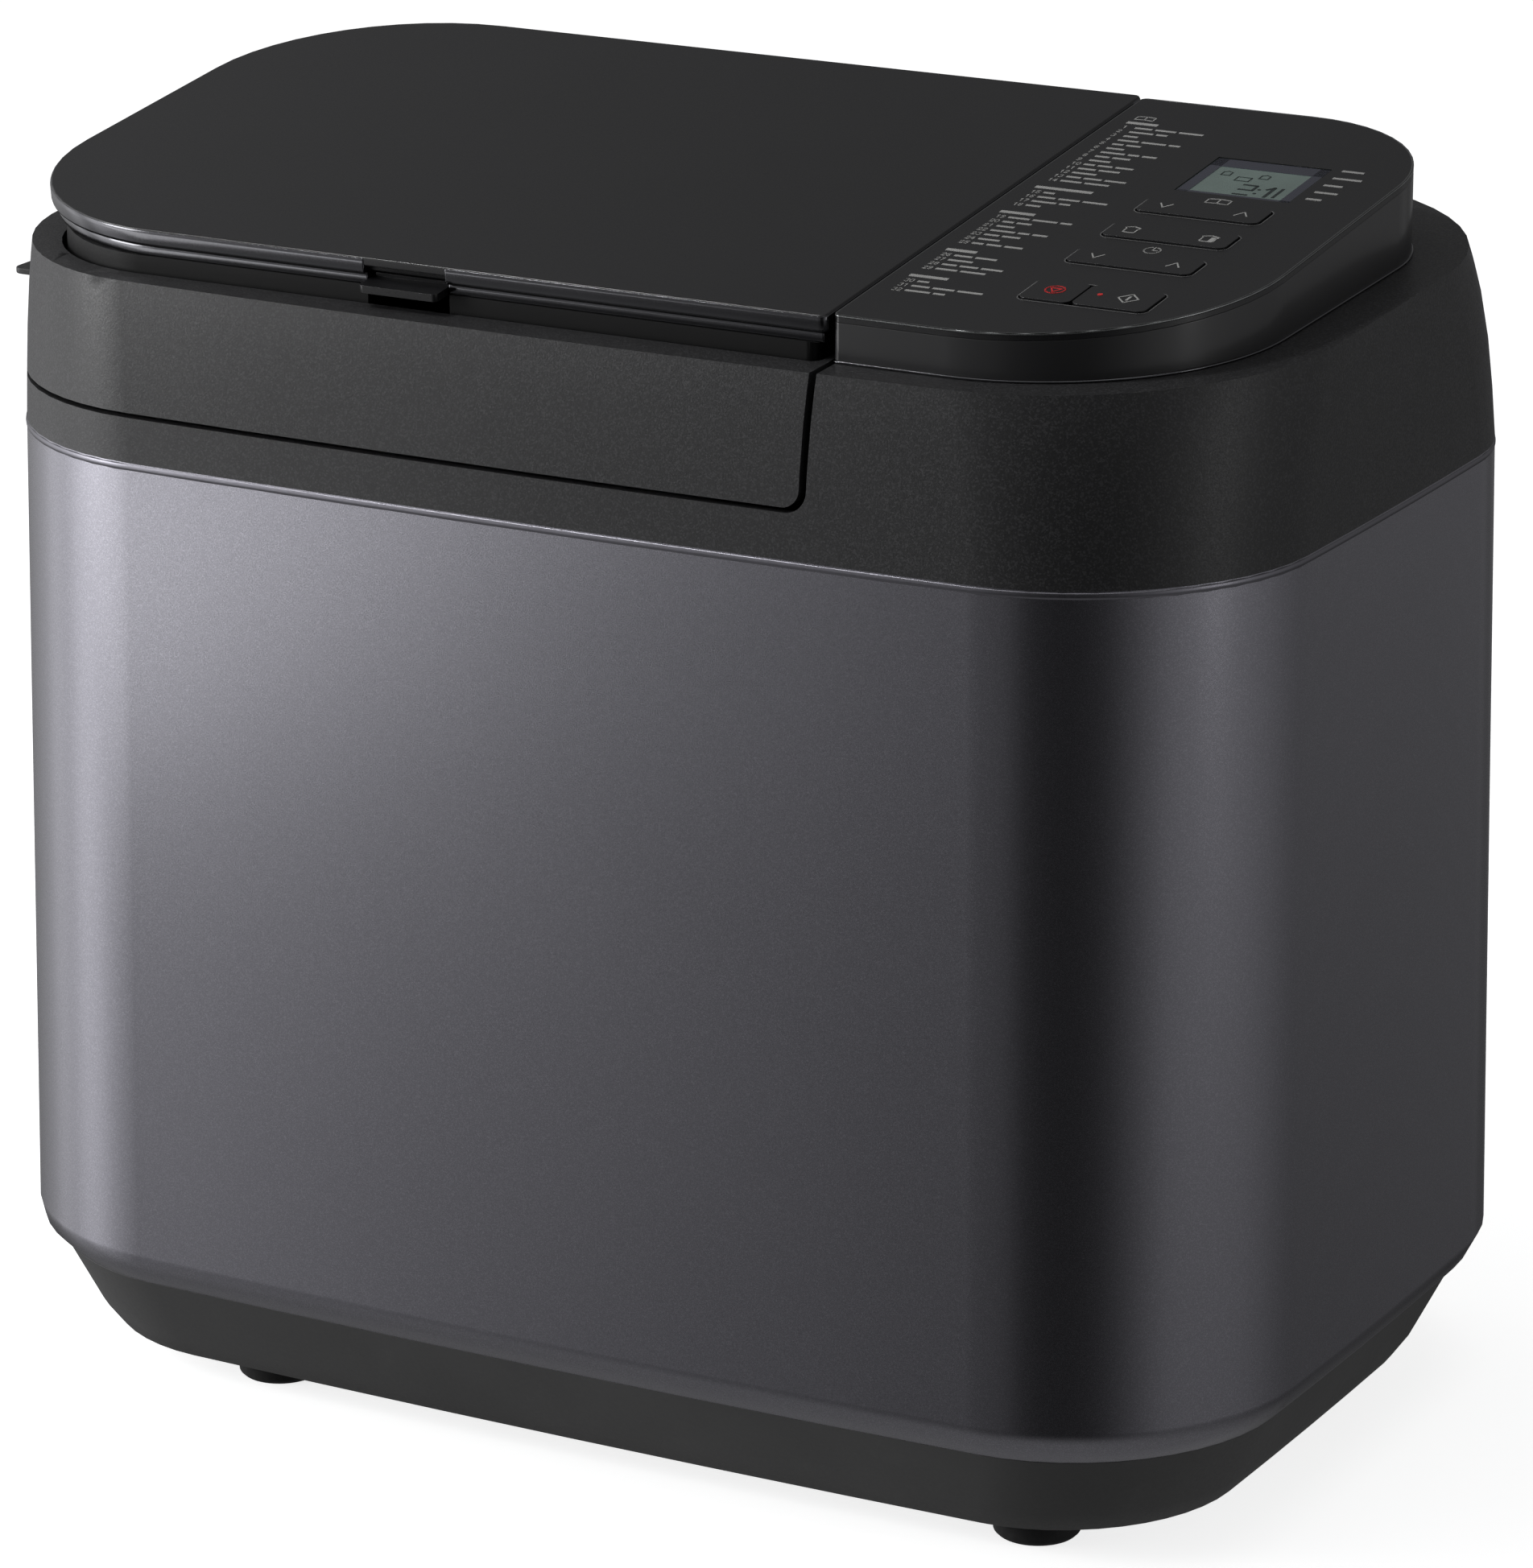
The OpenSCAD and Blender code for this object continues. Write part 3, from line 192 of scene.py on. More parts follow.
class Print:
    """Thin raised marks laid on the sloping top, gathered into one mesh."""

    def __init__(self, low, high):
        self.low, self.high = low, high
        self.verts, self.faces = [], []

    def prism(self, outline):
        n, b = len(outline), len(self.verts)
        k = 1 / math.cos(DECK_A)
        area = sum(outline[i][0] * outline[(i + 1) % n][1] - outline[(i + 1) % n][0] * outline[i][1]
                   for i in range(n))
        pts = outline if area > 0 else outline[::-1]
        for z in (self.low, self.high):
            self.verts += [on_deck(x, y * k, z) for x, y in pts]
        self.faces.append(tuple(range(b + n, b + 2 * n)))
        self.faces.append(tuple(range(b + n - 1, b - 1, -1)))
        self.faces += [(b + i, b + (i + 1) % n, b + n + (i + 1) % n, b + n + i) for i in range(n)]

    def bar(self, x0, y0, x1, y1):
        self.prism([(x0, y0), (x1, y0), (x1, y1), (x0, y1)])

    def stroke(self, points, width, closed=False):
        """A line of constant width through the points, one short prism for each leg."""
        pts = points + points[:1] if closed else points
        for (ax, ay), (bx, by) in zip(pts, pts[1:]):
            length = math.hypot(bx - ax, by - ay) or 1e-6
            ux, uy = (bx - ax) / length * width / 2, (by - ay) / length * width / 2
            self.prism([(ax - ux + uy, ay - uy - ux), (bx + ux + uy, by + uy - ux),
                        (bx + ux - uy, by + uy + ux), (ax - ux - uy, ay - uy + ux)])

    def disc(self, cx, cy, r, n=20):
        self.prism([(cx + r * math.cos(2 * math.pi * i / n), cy + r * math.sin(2 * math.pi * i / n))
                    for i in range(n)])

    def ring(self, cx, cy, r, width, a0=0, a1=360, n=24):
        pts = [(cx + r * math.cos(math.radians(mix(a0, a1, i / n))),
                cy + r * math.sin(math.radians(mix(a0, a1, i / n)))) for i in range(n + 1)]
        self.stroke(pts, width)

    def digits(self, text, x, y, height):
        """Plain figures drawn as strokes, their lower left corner at x, y."""
        for ch in text:
            w = height * 0.52
            for line in FIGURES[ch]:
                self.stroke([(x + px * w, y + py * height) for px, py in line], height * 0.13)
            x += w + height * 0.26
        return x

    def book(self, x, y, half, top, foot, fold, width):
        """An open book about x, y; its spine is higher than its pages by fold."""
        self.stroke([(x - half, y + top), (x - half, y - foot), (x, y - foot + fold),
                     (x + half, y - foot), (x + half, y + top), (x, y + top + fold),
                     (x - half, y + top)], width)
        self.stroke([(x, y + top + fold), (x, y - foot + fold)], width)

    def build(self, name, body, finish):
        make(name, self.verts, self.faces, body, finish, smooth=False)


FIGURES = {
    "0": [[(0, .2), (.25, 0), (.75, 0), (1, .2), (1, .8), (.75, 1), (.25, 1), (0, .8), (0, .2)]],
    "1": [[(.2, .78), (.6, 1), (.6, 0)]],
    "2": [[(0, .8), (.25, 1), (.75, 1), (1, .8), (1, .6), (0, 0), (1, 0)]],
    "3": [[(0, .9), (.3, 1), (.75, 1), (1, .78), (.7, .52), (1, .26), (.75, 0), (.3, 0), (0, .1)]],
    "4": [[(.75, 0), (.75, 1), (0, .3), (1, .3)]],
    "5": [[(.95, 1), (.1, 1), (.05, .55), (.7, .6), (1, .3), (.7, 0), (.2, 0), (0, .12)]],
    "6": [[(.9, .95), (.4, 1), (0, .55), (0, .2), (.3, 0), (.75, 0), (1, .28), (.75, .56), (.05, .45)]],
    "7": [[(0, 1), (1, 1), (.35, 0)]],
    "8": [[(.3, .53), (0, .76), (.3, 1), (.7, 1), (1, .76), (.7, .53), (.3, .53), (0, .27), (.3, 0),
           (.7, 0), (1, .27), (.7, .53)]],
    "9": [[(.1, .05), (.6, 0), (1, .45), (1, .8), (.7, 1), (.25, 1), (0, .72), (.25, .44), (.95, .55)]],
}


# ---- finishes ---------------------------------------------------------------

# Sockets of the mix node that hold colours.
MIX_A = 6
MIX_B = 7
MIX_RESULT = 2


def surface(name, colour, rough, metal=0.0, vary=0.1, patch=22.0, grain=1500.0, bump=0.12,
            depth=3e-5, rough_vary=0.07, stretch=(1, 1, 1), specks=0.0, speck_scale=2600.0,
            scuff=0.0, sockets=None):
    """Procedural finish: broad colour drift, fine grain in roughness and bump, specks, scuffs.
    Patch, grain and speck_scale are noise scales, depth is the bump's height in metres."""
    mat = bpy.data.materials.new(name)
    mat.use_nodes = True
    tree = mat.node_tree
    bsdf = tree.nodes["Principled BSDF"]

    def add(kind, **values):
        n = tree.nodes.new(kind)
        for key, value in values.items():
            n.inputs[key.replace("_", " ")].default_value = value
        return n

    def span(source, lo, hi, a, b):
        n = add("ShaderNodeMapRange", From_Min=lo, From_Max=hi, To_Min=a, To_Max=b)
        tree.links.new(source, n.inputs["Value"])
        return n.outputs["Result"]

    def blend(factor, a, b):
        n = tree.nodes.new("ShaderNodeMix")
        n.data_type = "RGBA"
        tree.links.new(factor, n.inputs["Factor"])
        for socket, value in ((MIX_A, a), (MIX_B, b)):
            if isinstance(value, tuple):
                n.inputs[socket].default_value = (*value, 1)
            else:
                tree.links.new(value, n.inputs[socket])
        return n.outputs[MIX_RESULT]

    place = tree.nodes.new("ShaderNodeTexCoord").outputs["Object"]
    mapped = tree.nodes.new("ShaderNodeMapping")
    mapped.inputs["Scale"].default_value = stretch
    tree.links.new(place, mapped.inputs["Vector"])

    broad = add("ShaderNodeTexNoise", Scale=patch, Detail=3.0)
    fine = add("ShaderNodeTexNoise", Scale=grain, Detail=2.0, Roughness=0.6)
    tree.links.new(place, broad.inputs["Vector"])
    tree.links.new(mapped.outputs["Vector"], fine.inputs["Vector"])

    dark = tuple(c * (1 - vary) for c in colour)
    light = tuple(c * (1 + vary) for c in colour)
    tint = blend(span(broad.outputs["Fac"], 0.3, 0.7, 0, 1), dark, light)
    if specks:
        cell = add("ShaderNodeTexVoronoi", Scale=speck_scale)
        tree.links.new(place, cell.inputs["Vector"])
        split = tree.nodes.new("ShaderNodeSeparateColor")
        tree.links.new(cell.outputs["Color"], split.inputs["Color"])
        bright = tuple(min(1, c * (1 + specks)) for c in colour)
        tint = blend(span(split.outputs["Red"], 0.55, 1.0, 0, 1), tint, bright)
    if scuff:
        worn = add("ShaderNodeTexNoise", Scale=60.0, Detail=8.0, Roughness=0.75)
        tree.links.new(place, worn.inputs["Vector"])
        faded = tuple(min(1, c * 1.6 + 0.02) for c in colour)
        tint = blend(span(worn.outputs["Fac"], 0.56, 0.75, 0, scuff), tint, faded)
    tree.links.new(tint, bsdf.inputs["Base Color"])
    tree.links.new(span(fine.outputs["Fac"], 0.25, 0.75, max(0.03, rough - rough_vary),
                        min(1, rough + rough_vary)), bsdf.inputs["Roughness"])
    lift = add("ShaderNodeBump", Strength=bump, Distance=depth)
    tree.links.new(fine.outputs["Fac"], lift.inputs["Height"])
    tree.links.new(lift.outputs["Normal"], bsdf.inputs["Normal"])
    bsdf.inputs["Metallic"].default_value = metal
    for key, value in (sockets or {}).items():
        bsdf.inputs[key].default_value = value
    return mat


FINISH = {
    "dark_plastic": surface("charcoal_moulding", (0.024, 0.024, 0.025), 0.4, vary=0.06,
                            grain=1900, bump=0.5, depth=9e-5, rough_vary=0.1, specks=1.1,
                            speck_scale=2300, scuff=0.12,
                            sockets={"Specular IOR Level": 0.4}),
    "base_plastic": surface("base_moulding", (0.08, 0.08, 0.08), 0.62, grain=900, bump=0.2,
                            scuff=0.2),
    "case_metal": surface("pearl_case", (0.265, 0.26, 0.29), 0.28, metal=1.0, vary=0.03,
                          patch=9, grain=4200, bump=0.09, depth=1.2e-5, rough_vary=0.05,
                          stretch=(1, 1, 0.7), specks=0.32, speck_scale=4200,
                          sockets={"Coat Weight": 0.15, "Coat Roughness": 0.2}),
    "satin_black": surface("satin_black", (0.011, 0.011, 0.012), 0.3, vary=0.05, grain=2400,
                           bump=0.06, depth=2e-5, rough_vary=0.04,
                           sockets={"Coat Weight": 0.12, "Coat Roughness": 0.12}),
    "inner_black": surface("inner_black", (0.005, 0.005, 0.005), 0.5, grain=1200, bump=0.15,
                           scuff=0.02, sockets={"Specular IOR Level": 0.25}),
    "rubber_black": surface("rubber", (0.012, 0.012, 0.012), 0.78, grain=700, bump=0.35,
                            depth=1e-4, scuff=0.3),
    "silicone": surface("silicone_seal", (0.11, 0.11, 0.115), 0.55, grain=800, bump=0.15,
                        sockets={"Subsurface Weight": 0.08}),
    "steel": surface("turned_steel", (0.56, 0.56, 0.58), 0.24, metal=1.0, grain=900, bump=0.12,
                     stretch=(1, 1, 12), rough_vary=0.08),
    "zinc_sheet": surface("zinc_sheet", (0.42, 0.43, 0.45), 0.38, metal=1.0, vary=0.16, patch=90,
                          grain=500, bump=0.12, rough_vary=0.1),
    "cast": surface("cast_alloy", (0.40, 0.40, 0.41), 0.5, metal=1.0, grain=650, bump=0.4,
                    depth=8e-5, rough_vary=0.1),
    "heater": surface("heater_tube", (0.11, 0.10, 0.095), 0.5, metal=0.7, vary=0.3, patch=45,
                      grain=800, bump=0.2),
    "nonstick": surface("nonstick_coating", (0.028, 0.028, 0.03), 0.4, metal=0.25, grain=1500,
                        bump=0.3, depth=5e-5, specks=1.6, speck_scale=1500),
    "wire": surface("drawn_wire", (0.5, 0.5, 0.52), 0.3, metal=1.0, vary=0.05, grain=2600,
                    bump=0.02, rough_vary=0.04, stretch=(0.3, 1, 1)),
    "nylon": surface("natural_nylon", (0.55, 0.53, 0.47), 0.45, grain=700, bump=0.1,
                     sockets={"Subsurface Weight": 0.15}),
    "orange": surface("valve_orange", (0.62, 0.19, 0.03), 0.42, grain=700, bump=0.12),
    "board": surface("circuit_board", (0.012, 0.09, 0.035), 0.4, vary=0.25, patch=260, grain=900,
                     bump=0.15, sockets={"Coat Weight": 0.4}),
    "lcd": surface("lcd_module", (0.2, 0.23, 0.2), 0.4, grain=900, bump=0.08),
    "window": surface("lcd_glass", (0.16, 0.215, 0.195), 0.2, vary=0.12, patch=60, grain=2600,
                      bump=0.02, rough_vary=0.03,
                      sockets={"Coat Weight": 0.6, "Coat Roughness": 0.06}),
}
HOUSING = surface("housing_black", (0.021, 0.021, 0.022), 0.36, vary=0.05, grain=2400, bump=0.06,
                  depth=2e-5, rough_vary=0.04,
                  sockets={"Coat Weight": 0.35, "Coat Roughness": 0.15})
EDGE = surface("polished_edge", (0.13, 0.13, 0.138), 0.15, metal=1.0, vary=0.06, grain=1800,
               bump=0.04, rough_vary=0.05)
LIP = surface("rolled_lip", (0.21, 0.206, 0.23), 0.34, metal=1.0, vary=0.05, grain=1800,
              bump=0.05, rough_vary=0.05)
# Painted highlight: bright metal for a thin strip on the fascia's top edge, standing in for the
# highlight on the housing's rounded edge.
PAINTED_HIGHLIGHT = surface("painted_edge_highlight", (0.30, 0.31, 0.31), 0.3, metal=1.0, vary=0.05, grain=1800,
                bump=0.05)
INK = surface("pale_print", (0.36, 0.36, 0.35), 0.55, vary=0.08, grain=1500, bump=0.1)
# Pale colour for the lines round the keys: a painted highlight for the light on the keys' edges.
KEY_EDGE_HIGHLIGHT = surface("painted_key_highlight", (0.15, 0.15, 0.15), 0.45, vary=0.08, grain=1500, bump=0.1)
RED = surface("red_print", (0.62, 0.03, 0.03), 0.5, vary=0.08, grain=1500, bump=0.1)
LCD_DARK = surface("lcd_segments", (0.018, 0.026, 0.026), 0.3, grain=1500, bump=0.05)
LCD_FRAME = surface("lcd_frame", (0.035, 0.037, 0.055), 0.22, grain=1500, bump=0.04,
                    sockets={"Coat Weight": 0.5})

# Edge softness of each node in millimetres; the rest get the default.
BEVEL = {
    "outer_case": 0.3, "top_frame": 0.8, "lid_skirt": 0.8, "base_tray": 0.8,
    "dispenser_cover": 0.55, "cover_frame": 0.5, "control_housing": 0.4,
    "cover_latch": 0.4, "key_menu": 0.45, "key_size": 0.45, "key_timer": 0.45,
    "key_stop": 0.45, "key_start": 0.45, "lcd_window": 0.15, "lcd_module": 0.2,
    "tact_switches": 0.2, "bread_pan": 0.4, "pan_handle": 0.2, "kneading_blade": 0.6,
    "drive_belt": 0.2, "heater_element": 0.1, "baking_chamber": 0.25, "lid_inner_plate": 0.4,
}
DEFAULT_BEVEL = 0.35
SAME_POINT = 4e-6  # metres between corners that are one
FLAT = math.radians(0.2)
SHARP = math.radians(33)


def soften(obj, width):
    """Merges the exported corners, clears coplanar edges and rounds every real edge."""
    mesh = obj.data
    if "custom_normal" in mesh.attributes:
        mesh.attributes.remove(mesh.attributes["custom_normal"])
    mesh.polygons.foreach_set("use_smooth", [True] * len(mesh.polygons))
    weld = obj.modifiers.new("weld", "WELD")
    weld.merge_threshold = SAME_POINT
    flat = obj.modifiers.new("flat", "DECIMATE")
    flat.decimate_type = "DISSOLVE"
    flat.angle_limit = FLAT
    edge = obj.modifiers.new("edge", "BEVEL")
    edge.width = width / 1000
    edge.segments = 3
    edge.limit_method = "ANGLE"
    edge.angle_limit = SHARP
    edge.use_clamp_overlap = True
    obj.modifiers.new("weigh", "WEIGHTED_NORMAL")


# Nodes whose finish differs from the rest of their slot.
BY_NODE = {"cover_frame": FINISH["inner_black"], "control_housing": HOUSING}
for node_name, node_obj in nodes.items():
    slot_name = node_obj.data.materials[0].name.split(".")[0]
    finish = BY_NODE.get(node_name, FINISH[slot_name])
    for index in range(len(node_obj.data.materials)):
        node_obj.data.materials[index] = finish
    soften(node_obj, BEVEL.get(node_name, DEFAULT_BEVEL))


# ---- thin edges on the case and the cover -----------------------------------

# Cross-sections as (inset, height) points in order. The case lip's heights are from the ground,
# the others from the surface that they follow.
CASE_LIP = ((0.2, 279.4), (-0.1, 279.8), (-0.22, 280.4), (-0.18, 281.1), (0.1, 281.5),
            (0.9, 281.3), (0.9, 279.4))
COVER_EDGE = ((0.3, -0.3), (0.0, -0.45), (-0.15, -0.8), (-0.2, -1.6), (-0.2, -4.0),
              (-0.1, -4.5), (0.5, -4.8), (0.8, -2.5))
COVER_FOOT = ((1.9, -5.2), (1.5, -5.5), (1.4, -6.2), (1.4, -7.4), (1.5, -8.2),
              (2.0, -8.6), (2.6, -7.0))
FASCIA_EDGE = ((-0.04, -0.6), (-0.04, -0.25), (0.2, 0.0), (0.5, 0.03), (0.6, -0.5))
HOUSING_FOOT = ((-0.1, 0.05), (-0.5, 0.2), (-0.55, 0.55), (-0.2, 0.8), (0.6, 0.5))

hoop("case_top_lip", [case_ring(z, inset) for inset, z in CASE_LIP], "case", LIP)
hoop("cover_edge_trim", [cover_ring(inset, z) for inset, z in COVER_EDGE],
     "cover", EDGE, gap=LATCH_X)
hoop("cover_lower_trim", [cover_ring(inset, z) for inset, z in COVER_FOOT],
     "cover", EDGE, gap=LATCH_X)
# A bright strip along the fascia's top edge: a painted highlight in place of the light caught by its
# rounded edge.
hoop("fascia_painted_highlight", [panel_ring(inset, z, DECK_Z, DECK_SLOPE) for inset, z in FASCIA_EDGE],
     "case", PAINTED_HIGHLIGHT)
hoop("housing_foot_line", [panel_ring(inset, z, RIM_Z, RIM_SLOPE) for inset, z in HOUSING_FOOT],
     "case", EDGE)


# ---- panel print ------------------------------------------------------------

# Programmes in each group and the length of the bar that stands for the group's name.
GROUPS = ((14, 9.6), (4, 17.5), (7, 10.5), (4, 9.2), (3, 11.5))
LIST_X = 87.5
LIST_BACK = 66.0
LIST_FRONT = -87.0
ICON_ROWS = 1.4  # height of the book above the list, in rows
GAP_ROWS = 0.9  # space between two groups, in rows


def programme_list():
    """Numbers 1 to 32 in five groups, each followed by plain bars where words would be."""
    marks = Print(*ON_PANEL)
    rows = sum(count for count, _ in GROUPS) + len(GROUPS) + GAP_ROWS * (len(GROUPS) - 1) + ICON_ROWS
    pitch = (LIST_BACK - LIST_FRONT) / rows
    y = LIST_BACK
    marks.book(91.2, y, 2.8, 1.6, 1.0, 0.4, 0.34)
    y -= pitch * ICON_ROWS
    number = 0
    for count, title in GROUPS:
        marks.bar(LIST_X, y + 0.2, LIST_X + title, y + 1.9)
        y -= pitch
        for _ in range(count):
            number += 1
            end = marks.digits(str(number), LIST_X + 0.7, y, 1.9)
            start = max(end + 0.7, LIST_X + 4.3)
            for word in range(1 + (number * 5) % 3):
                length = 3.4 + (number * 7 + word * 11) % 5
                marks.bar(start, y + 0.35, start + length, y + 1.45)
                start += length + 1.0
            y -= pitch
        y -= pitch * GAP_ROWS
    marks.build("programme_list", "case", INK)


def chevrons(name, row, body):
    """An arrow head to the front on the left of a wide key and one to the back on its right."""
    marks = Print(*ON_KEY)
    for x, point in ((129.0, -1.7), (152.2, 1.7)):
        ends = -math.copysign(1.3, point)
        marks.stroke([(x - 1.8, ROWS[row] + ends), (x, ROWS[row] + point),
                      (x + 1.8, ROWS[row] + ends)], LINE)
    marks.build(name, body, INK)


def loaf_icons():
    """A small loaf on the left of the middle key and a larger, cut one on its right."""
    marks = Print(*ON_KEY)
    y = ROWS[1]
    for x, half in ((128.9, 1.7), (152.0, 2.0)):
        marks.stroke([(x - half, y - 2.1), (x + half, y - 2.1), (x + half, y + 0.6),
                      (x + half + 0.5, y + 1.6), (x, y + 2.5), (x - half - 0.5, y + 1.6),
                      (x - half, y + 0.6)], 0.4, closed=True)
    marks.bar(152.4, y - 1.9, 153.9, y + 1.2)
    marks.build("loaf_icons", "size_key", INK)


def panel_icons():
    """A book and a clock between the wide keys, and bars beside the display for the stages."""
    marks = Print(*ON_PANEL)
    marks.book(141.0, 8.3, 3.4, 1.7, 1.6, 0.5, 0.4)
    x = 140.9
    y = -33.0
    marks.ring(x, y, 2.3, 0.4, 110, 430)
    marks.stroke([(x, y + 2.4), (x, y), (x + 1.4, y)], 0.36)
    for y, length in ((42.5, 6.6), (36.3, 8.6), (30.2, 5.6), (24.2, 6.8), (18.4, 4.6)):
        marks.bar(162.6, y - 0.6, 162.6 + length, y + 0.6)
    marks.build("panel_icons", "case", INK)


def key_outlines():
    """Fine pale lines round each wide key and round the two press keys together: a painted highlight
    that stands in for the light caught on the keys' edges.
    """
    marks = Print(0.0, 0.05)
    away = 0.65
    keys = [(*KEY_X, y - KEY_HALF, y + KEY_HALF) for y in ROWS] + [(*PRESS_X, *PRESS_Y)]
    for x0, x1, y0, y1 in keys:
        line = round_rect(x0 - away, x1 + away, y0 - away, y1 + away, (2.8,) * 4, 6, 1)
        marks.stroke(line, 0.3, closed=True)
    marks.build("key_outlines", "case", KEY_EDGE_HIGHLIGHT)


def press_icons():
    """A triangle in a ring on the stop key; a diamond, a bar and a lamp on the start key."""
    y = PRESS_MID
    stop = Print(*ON_KEY)
    x = 130.4
    stop.ring(x, y, 2.7, LINE)
    stop.stroke([(x - 1.6, y + 1.0), (x + 1.6, y + 1.0), (x, y - 1.8)], LINE, closed=True)
    stop.build("stop_icon", "stop_key", RED)
    start = Print(*ON_KEY)
    x = 151.9
    start.stroke([(x, y + 3.2), (x + 3.0, y), (x, y - 3.2), (x - 3.0, y)], LINE, closed=True)
    start.bar(x - 0.35, y - 1.5, x + 0.35, y + 1.5)
    start.build("start_icon", "start_key", INK)
    lamp = Print(0.5, 0.62)
    lamp.disc(143.4, -70.0, 0.75)
    lamp.build("start_lamp", "start_key", RED)


# Strokes that make up the two letter-like signs on the display, in units of their own.
SIGN = {"top": ((0, 9), (5, 9)), "mid": ((0, 4.5), (5, 4.5)), "low": ((0, 0), (5, 0)),
        "right": ((5.2, 5), (5.2, 8.6)), "left": ((0, 0.4), (0, 8.6))}
SIGN_WIDE = 0.75
SIGN_HIGH = 0.85
FIGURE_Y = 16.8


def display():
    """Dark border and lit figures on the display glass."""
    border = Print(-0.34, -0.2)
    x0, x1, y0, y1 = WINDOW
    border.bar(x0, y1 - 6.0, x1, y1)
    border.bar(x0, y0, x1, y0 + 1.3)
    border.bar(x0, y0, x0 + 3.4, y1)
    border.bar(x1 - 3.0, y0, x1, y1)
    border.build("display_border", "case", LCD_FRAME)
    marks = Print(-0.33, -0.22)
    for x, strokes in ((141.5, ("top", "mid", "low", "right")), (153.2, ("left", "right"))):
        for key in strokes:
            marks.stroke([(x + px * SIGN_WIDE, FIGURE_Y + py * SIGN_HIGH) for px, py in SIGN[key]], 0.8)
    marks.digits("1", 148.4, FIGURE_Y, 7.4)
    marks.disc(147.0, 18.6, 0.5)
    marks.disc(147.0, 21.8, 0.5)
    y = 30.2
    for x in (131.5, 143.0):
        marks.stroke([(x, y), (x + 2.6, y), (x + 2.6, y + 2.4), (x + 1.3, y + 3.2), (x, y + 2.4)],
                     0.34, closed=True)
    marks.stroke([(137.0, 27.0), (137.0, 30.0), (141.2, 30.0), (141.2, 27.0)], 0.34, closed=True)
    marks.build("display_figures", "case", LCD_DARK)


programme_list()
chevrons("menu_arrows", 0, "menu_key")
chevrons("timer_arrows", 2, "timer_key")
loaf_icons()
panel_icons()
key_outlines()
press_icons()
display()


# ---- studio and camera ------------------------------------------------------

def pale_floor():
    """A wide white floor that shows in the picture but lights nothing."""
    floor = bpy.data.meshes.new("floor")
    floor.from_pydata([(-9, -9, 0), (9, -9, 0), (9, 9, 0), (-9, 9, 0)], [], [(0, 1, 2, 3)])
    plain = bpy.data.materials.new("pale_floor")
    plain.use_nodes = True
    settings = {"Base Color": (0.86, 0.86, 0.86, 1), "Roughness": 0.9,
                "Emission Color": (1, 1, 1, 1), "Emission Strength": 0.8}
    for key, value in settings.items():
        plain.node_tree.nodes["Principled BSDF"].inputs[key].default_value = value
    floor.materials.append(plain)
    obj = bpy.data.objects.new("floor", floor)
    scene.collection.objects.link(obj)
    obj.visible_glossy = False
    obj.visible_diffuse = False


# Brightness of the studio round the object: degrees from the front towards the right, radiance.
# A bright wall on the left, a dark card in front, and a dim right side with one broad, faint panel.
WALLS = ((-180, 0.07), (-171, 0.20), (-160, 0.10), (-150, 0.11), (-125, 0.40), (-105, 0.75),
         (-92, 1.6), (-82, 1.0), (-73, 2.1), (-62, 1.85), (-54, 1.2), (-46, 0.88),
         (-37, 0.76), (-33, 0.42), (-29, 0.235), (-20, 0.15), (-3, 0.19), (6, 0.04),
         (26, 0.03), (42, 0.05), (58, 0.20), (70, 0.38), (110, 0.36), (125, 0.28),
         (142, 0.19), (160, 0.17), (168, 0.22), (174, 0.10), (180, 0.07))
WORLD_STRENGTH = 2.2
CEILING = 0.045  # grey overhead, before the strength
GROUND = 0.10  # the same underfoot


def studio_walls():
    """World light that depends only on direction, like large panels standing round a table."""
    world = bpy.data.worlds.new("studio")
    world.use_nodes = True
    tree = world.node_tree
    way = tree.nodes.new("ShaderNodeTexCoord").outputs["Generated"]
    split = tree.nodes.new("ShaderNodeSeparateXYZ")
    tree.links.new(way, split.inputs[0])

    def calc(operation, *values):
        n = tree.nodes.new("ShaderNodeMath")
        n.operation = operation
        for socket, value in zip(n.inputs, values):
            if isinstance(value, float):
                socket.default_value = value
            else:
                tree.links.new(value, socket)
        return n.outputs[0]

    def by_height(low, high, start=0.0, end=1.0):
        """A value that runs from start to end as the direction's z runs from low to high."""
        n = tree.nodes.new("ShaderNodeMapRange")
        for socket, value in zip(n.inputs[1:5], (low, high, start, end)):
            socket.default_value = value
        tree.links.new(split.outputs["Z"], n.inputs["Value"])
        return n.outputs["Result"]

    def towards(colour, grey, factor):
        """Mixes a colour towards a grey."""
        n = tree.nodes.new("ShaderNodeMix")
        n.data_type = "RGBA"
        tree.links.new(factor, n.inputs["Factor"])
        tree.links.new(colour, n.inputs[MIX_A])
        n.inputs[MIX_B].default_value = (grey, grey, grey, 1)
        return n.outputs[MIX_RESULT]

    front = calc("MULTIPLY", split.outputs["Y"], -1.0)
    turn = calc("ARCTAN2", split.outputs["X"], front)
    ramp = tree.nodes.new("ShaderNodeValToRGB")
    tree.links.new(calc("MULTIPLY_ADD", turn, 1 / (2 * math.pi), 0.5), ramp.inputs[0])
    stops = ramp.color_ramp.elements
    while len(stops) > 1:
        stops.remove(stops[-1])
    for i, (angle, value) in enumerate(WALLS):
        where = (angle + 180) / 360
        stop = stops[0] if i == 0 else stops.new(where)
        stop.position = where
        level = value / WORLD_STRENGTH
        stop.color = (level * 0.985, level * 0.985, level, 1)
    walls = towards(ramp.outputs["Color"], CEILING, by_height(0.3, 0.75))
    low_walls = tree.nodes.new("ShaderNodeVectorMath")
    low_walls.operation = "SCALE"
    tree.links.new(walls, low_walls.inputs[0])
    tree.links.new(by_height(-0.44, -0.22, 0.34, 1.0), low_walls.inputs["Scale"])
    light = towards(low_walls.outputs[0], GROUND, by_height(-0.5, -0.8))
    back = tree.nodes["Background"]
    tree.links.new(light, back.inputs["Color"])
    back.inputs["Strength"].default_value = WORLD_STRENGTH
    scene.world = world


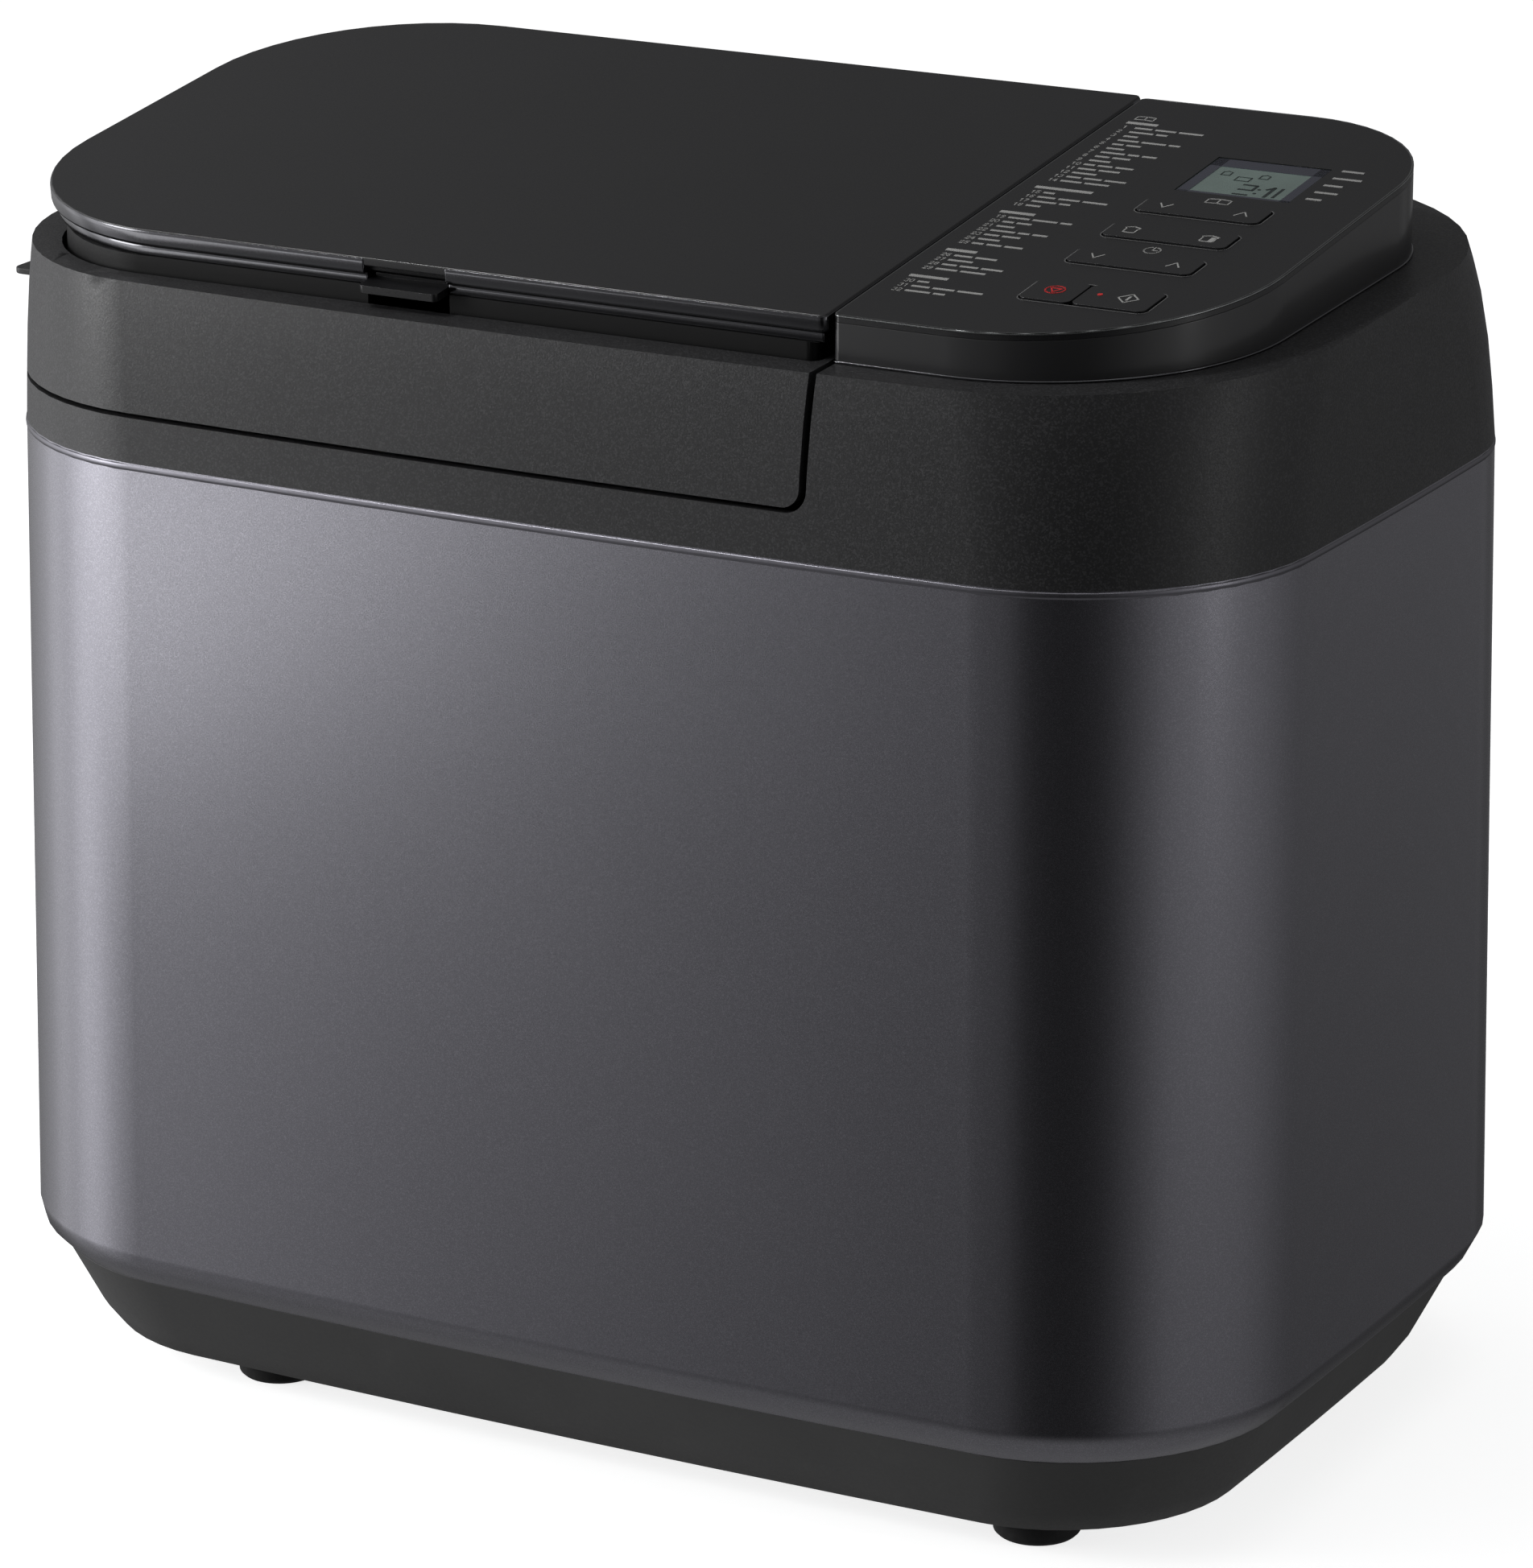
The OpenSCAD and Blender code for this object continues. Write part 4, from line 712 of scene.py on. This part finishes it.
def softbox(name, place, target, size, watts):
    """A rectangular light; places and size in metres."""
    light = bpy.data.lights.new(name, "AREA")
    light.shape = "RECTANGLE"
    light.size, light.size_y = size
    light.energy = watts
    obj = bpy.data.objects.new(name, light)
    obj.location = place
    obj.rotation_mode = "QUATERNION"
    obj.rotation_quaternion = (Vector(target) - Vector(place)).to_track_quat("-Z", "Y")
    scene.collection.objects.link(obj)


# The camera, in degrees and millimetres: its direction and distance from AIM, then a small shift.
AZIMUTH, ELEVATION, ROLL = 28.514, 17.576, -0.101
AIM = (CENTRE_X, 0, 172.8)
DISTANCE = 2048.5
SIDEWAYS = 4.255
UPWARDS = 0.606
SENSOR = 36
LENS = 162.68378


def camera():
    az, el, roll = (math.radians(v) for v in (AZIMUTH, ELEVATION, ROLL))
    back = Vector((math.sin(az) * math.cos(el), -math.cos(az) * math.cos(el), math.sin(el)))
    right = Vector((math.cos(az), math.sin(az), 0))
    up = back.cross(right)
    rolled_right = right * math.cos(roll) + up * math.sin(roll)
    rolled_up = up * math.cos(roll) - right * math.sin(roll)
    place = Vector(AIM) + back * DISTANCE + rolled_right * SIDEWAYS + rolled_up * UPWARDS
    cam = bpy.data.cameras.new("camera")
    cam.sensor_width = SENSOR
    cam.lens = LENS
    cam.clip_end = 50
    obj = bpy.data.objects.new("camera", cam)
    axes = Matrix((rolled_right, rolled_up, back)).transposed().to_4x4()
    obj.matrix_world = Matrix.Translation(place / 1000) @ axes
    scene.collection.objects.link(obj)
    scene.camera = obj


pale_floor()
studio_walls()
# table_glow lies on the floor and shines up, as a pale table in front on the left would.
softbox("table_glow", (-0.98, -0.93, 0.012), (-0.98, -0.93, 1), (0.86, 0.68), 2.75)
softbox("key_left", (-1.25, -0.95, 0.65), (-0.1, 0, 0.2), (0.5, 0.9), 9)
softbox("overhead", (0.1, -0.3, 2.2), (0, 0, 0.3), (2.0, 1.4), 7)
softbox("edge_light", (-1.0, -0.72, 2.0), (0, 0, 0.3), (0.22, 0.22), 11)
softbox("rim_right", (1.5, -0.1, 0.4), (0.1, 0, 0.25), (0.22, 0.7), 0.9)
camera()
scene.view_settings.view_transform = "Standard"
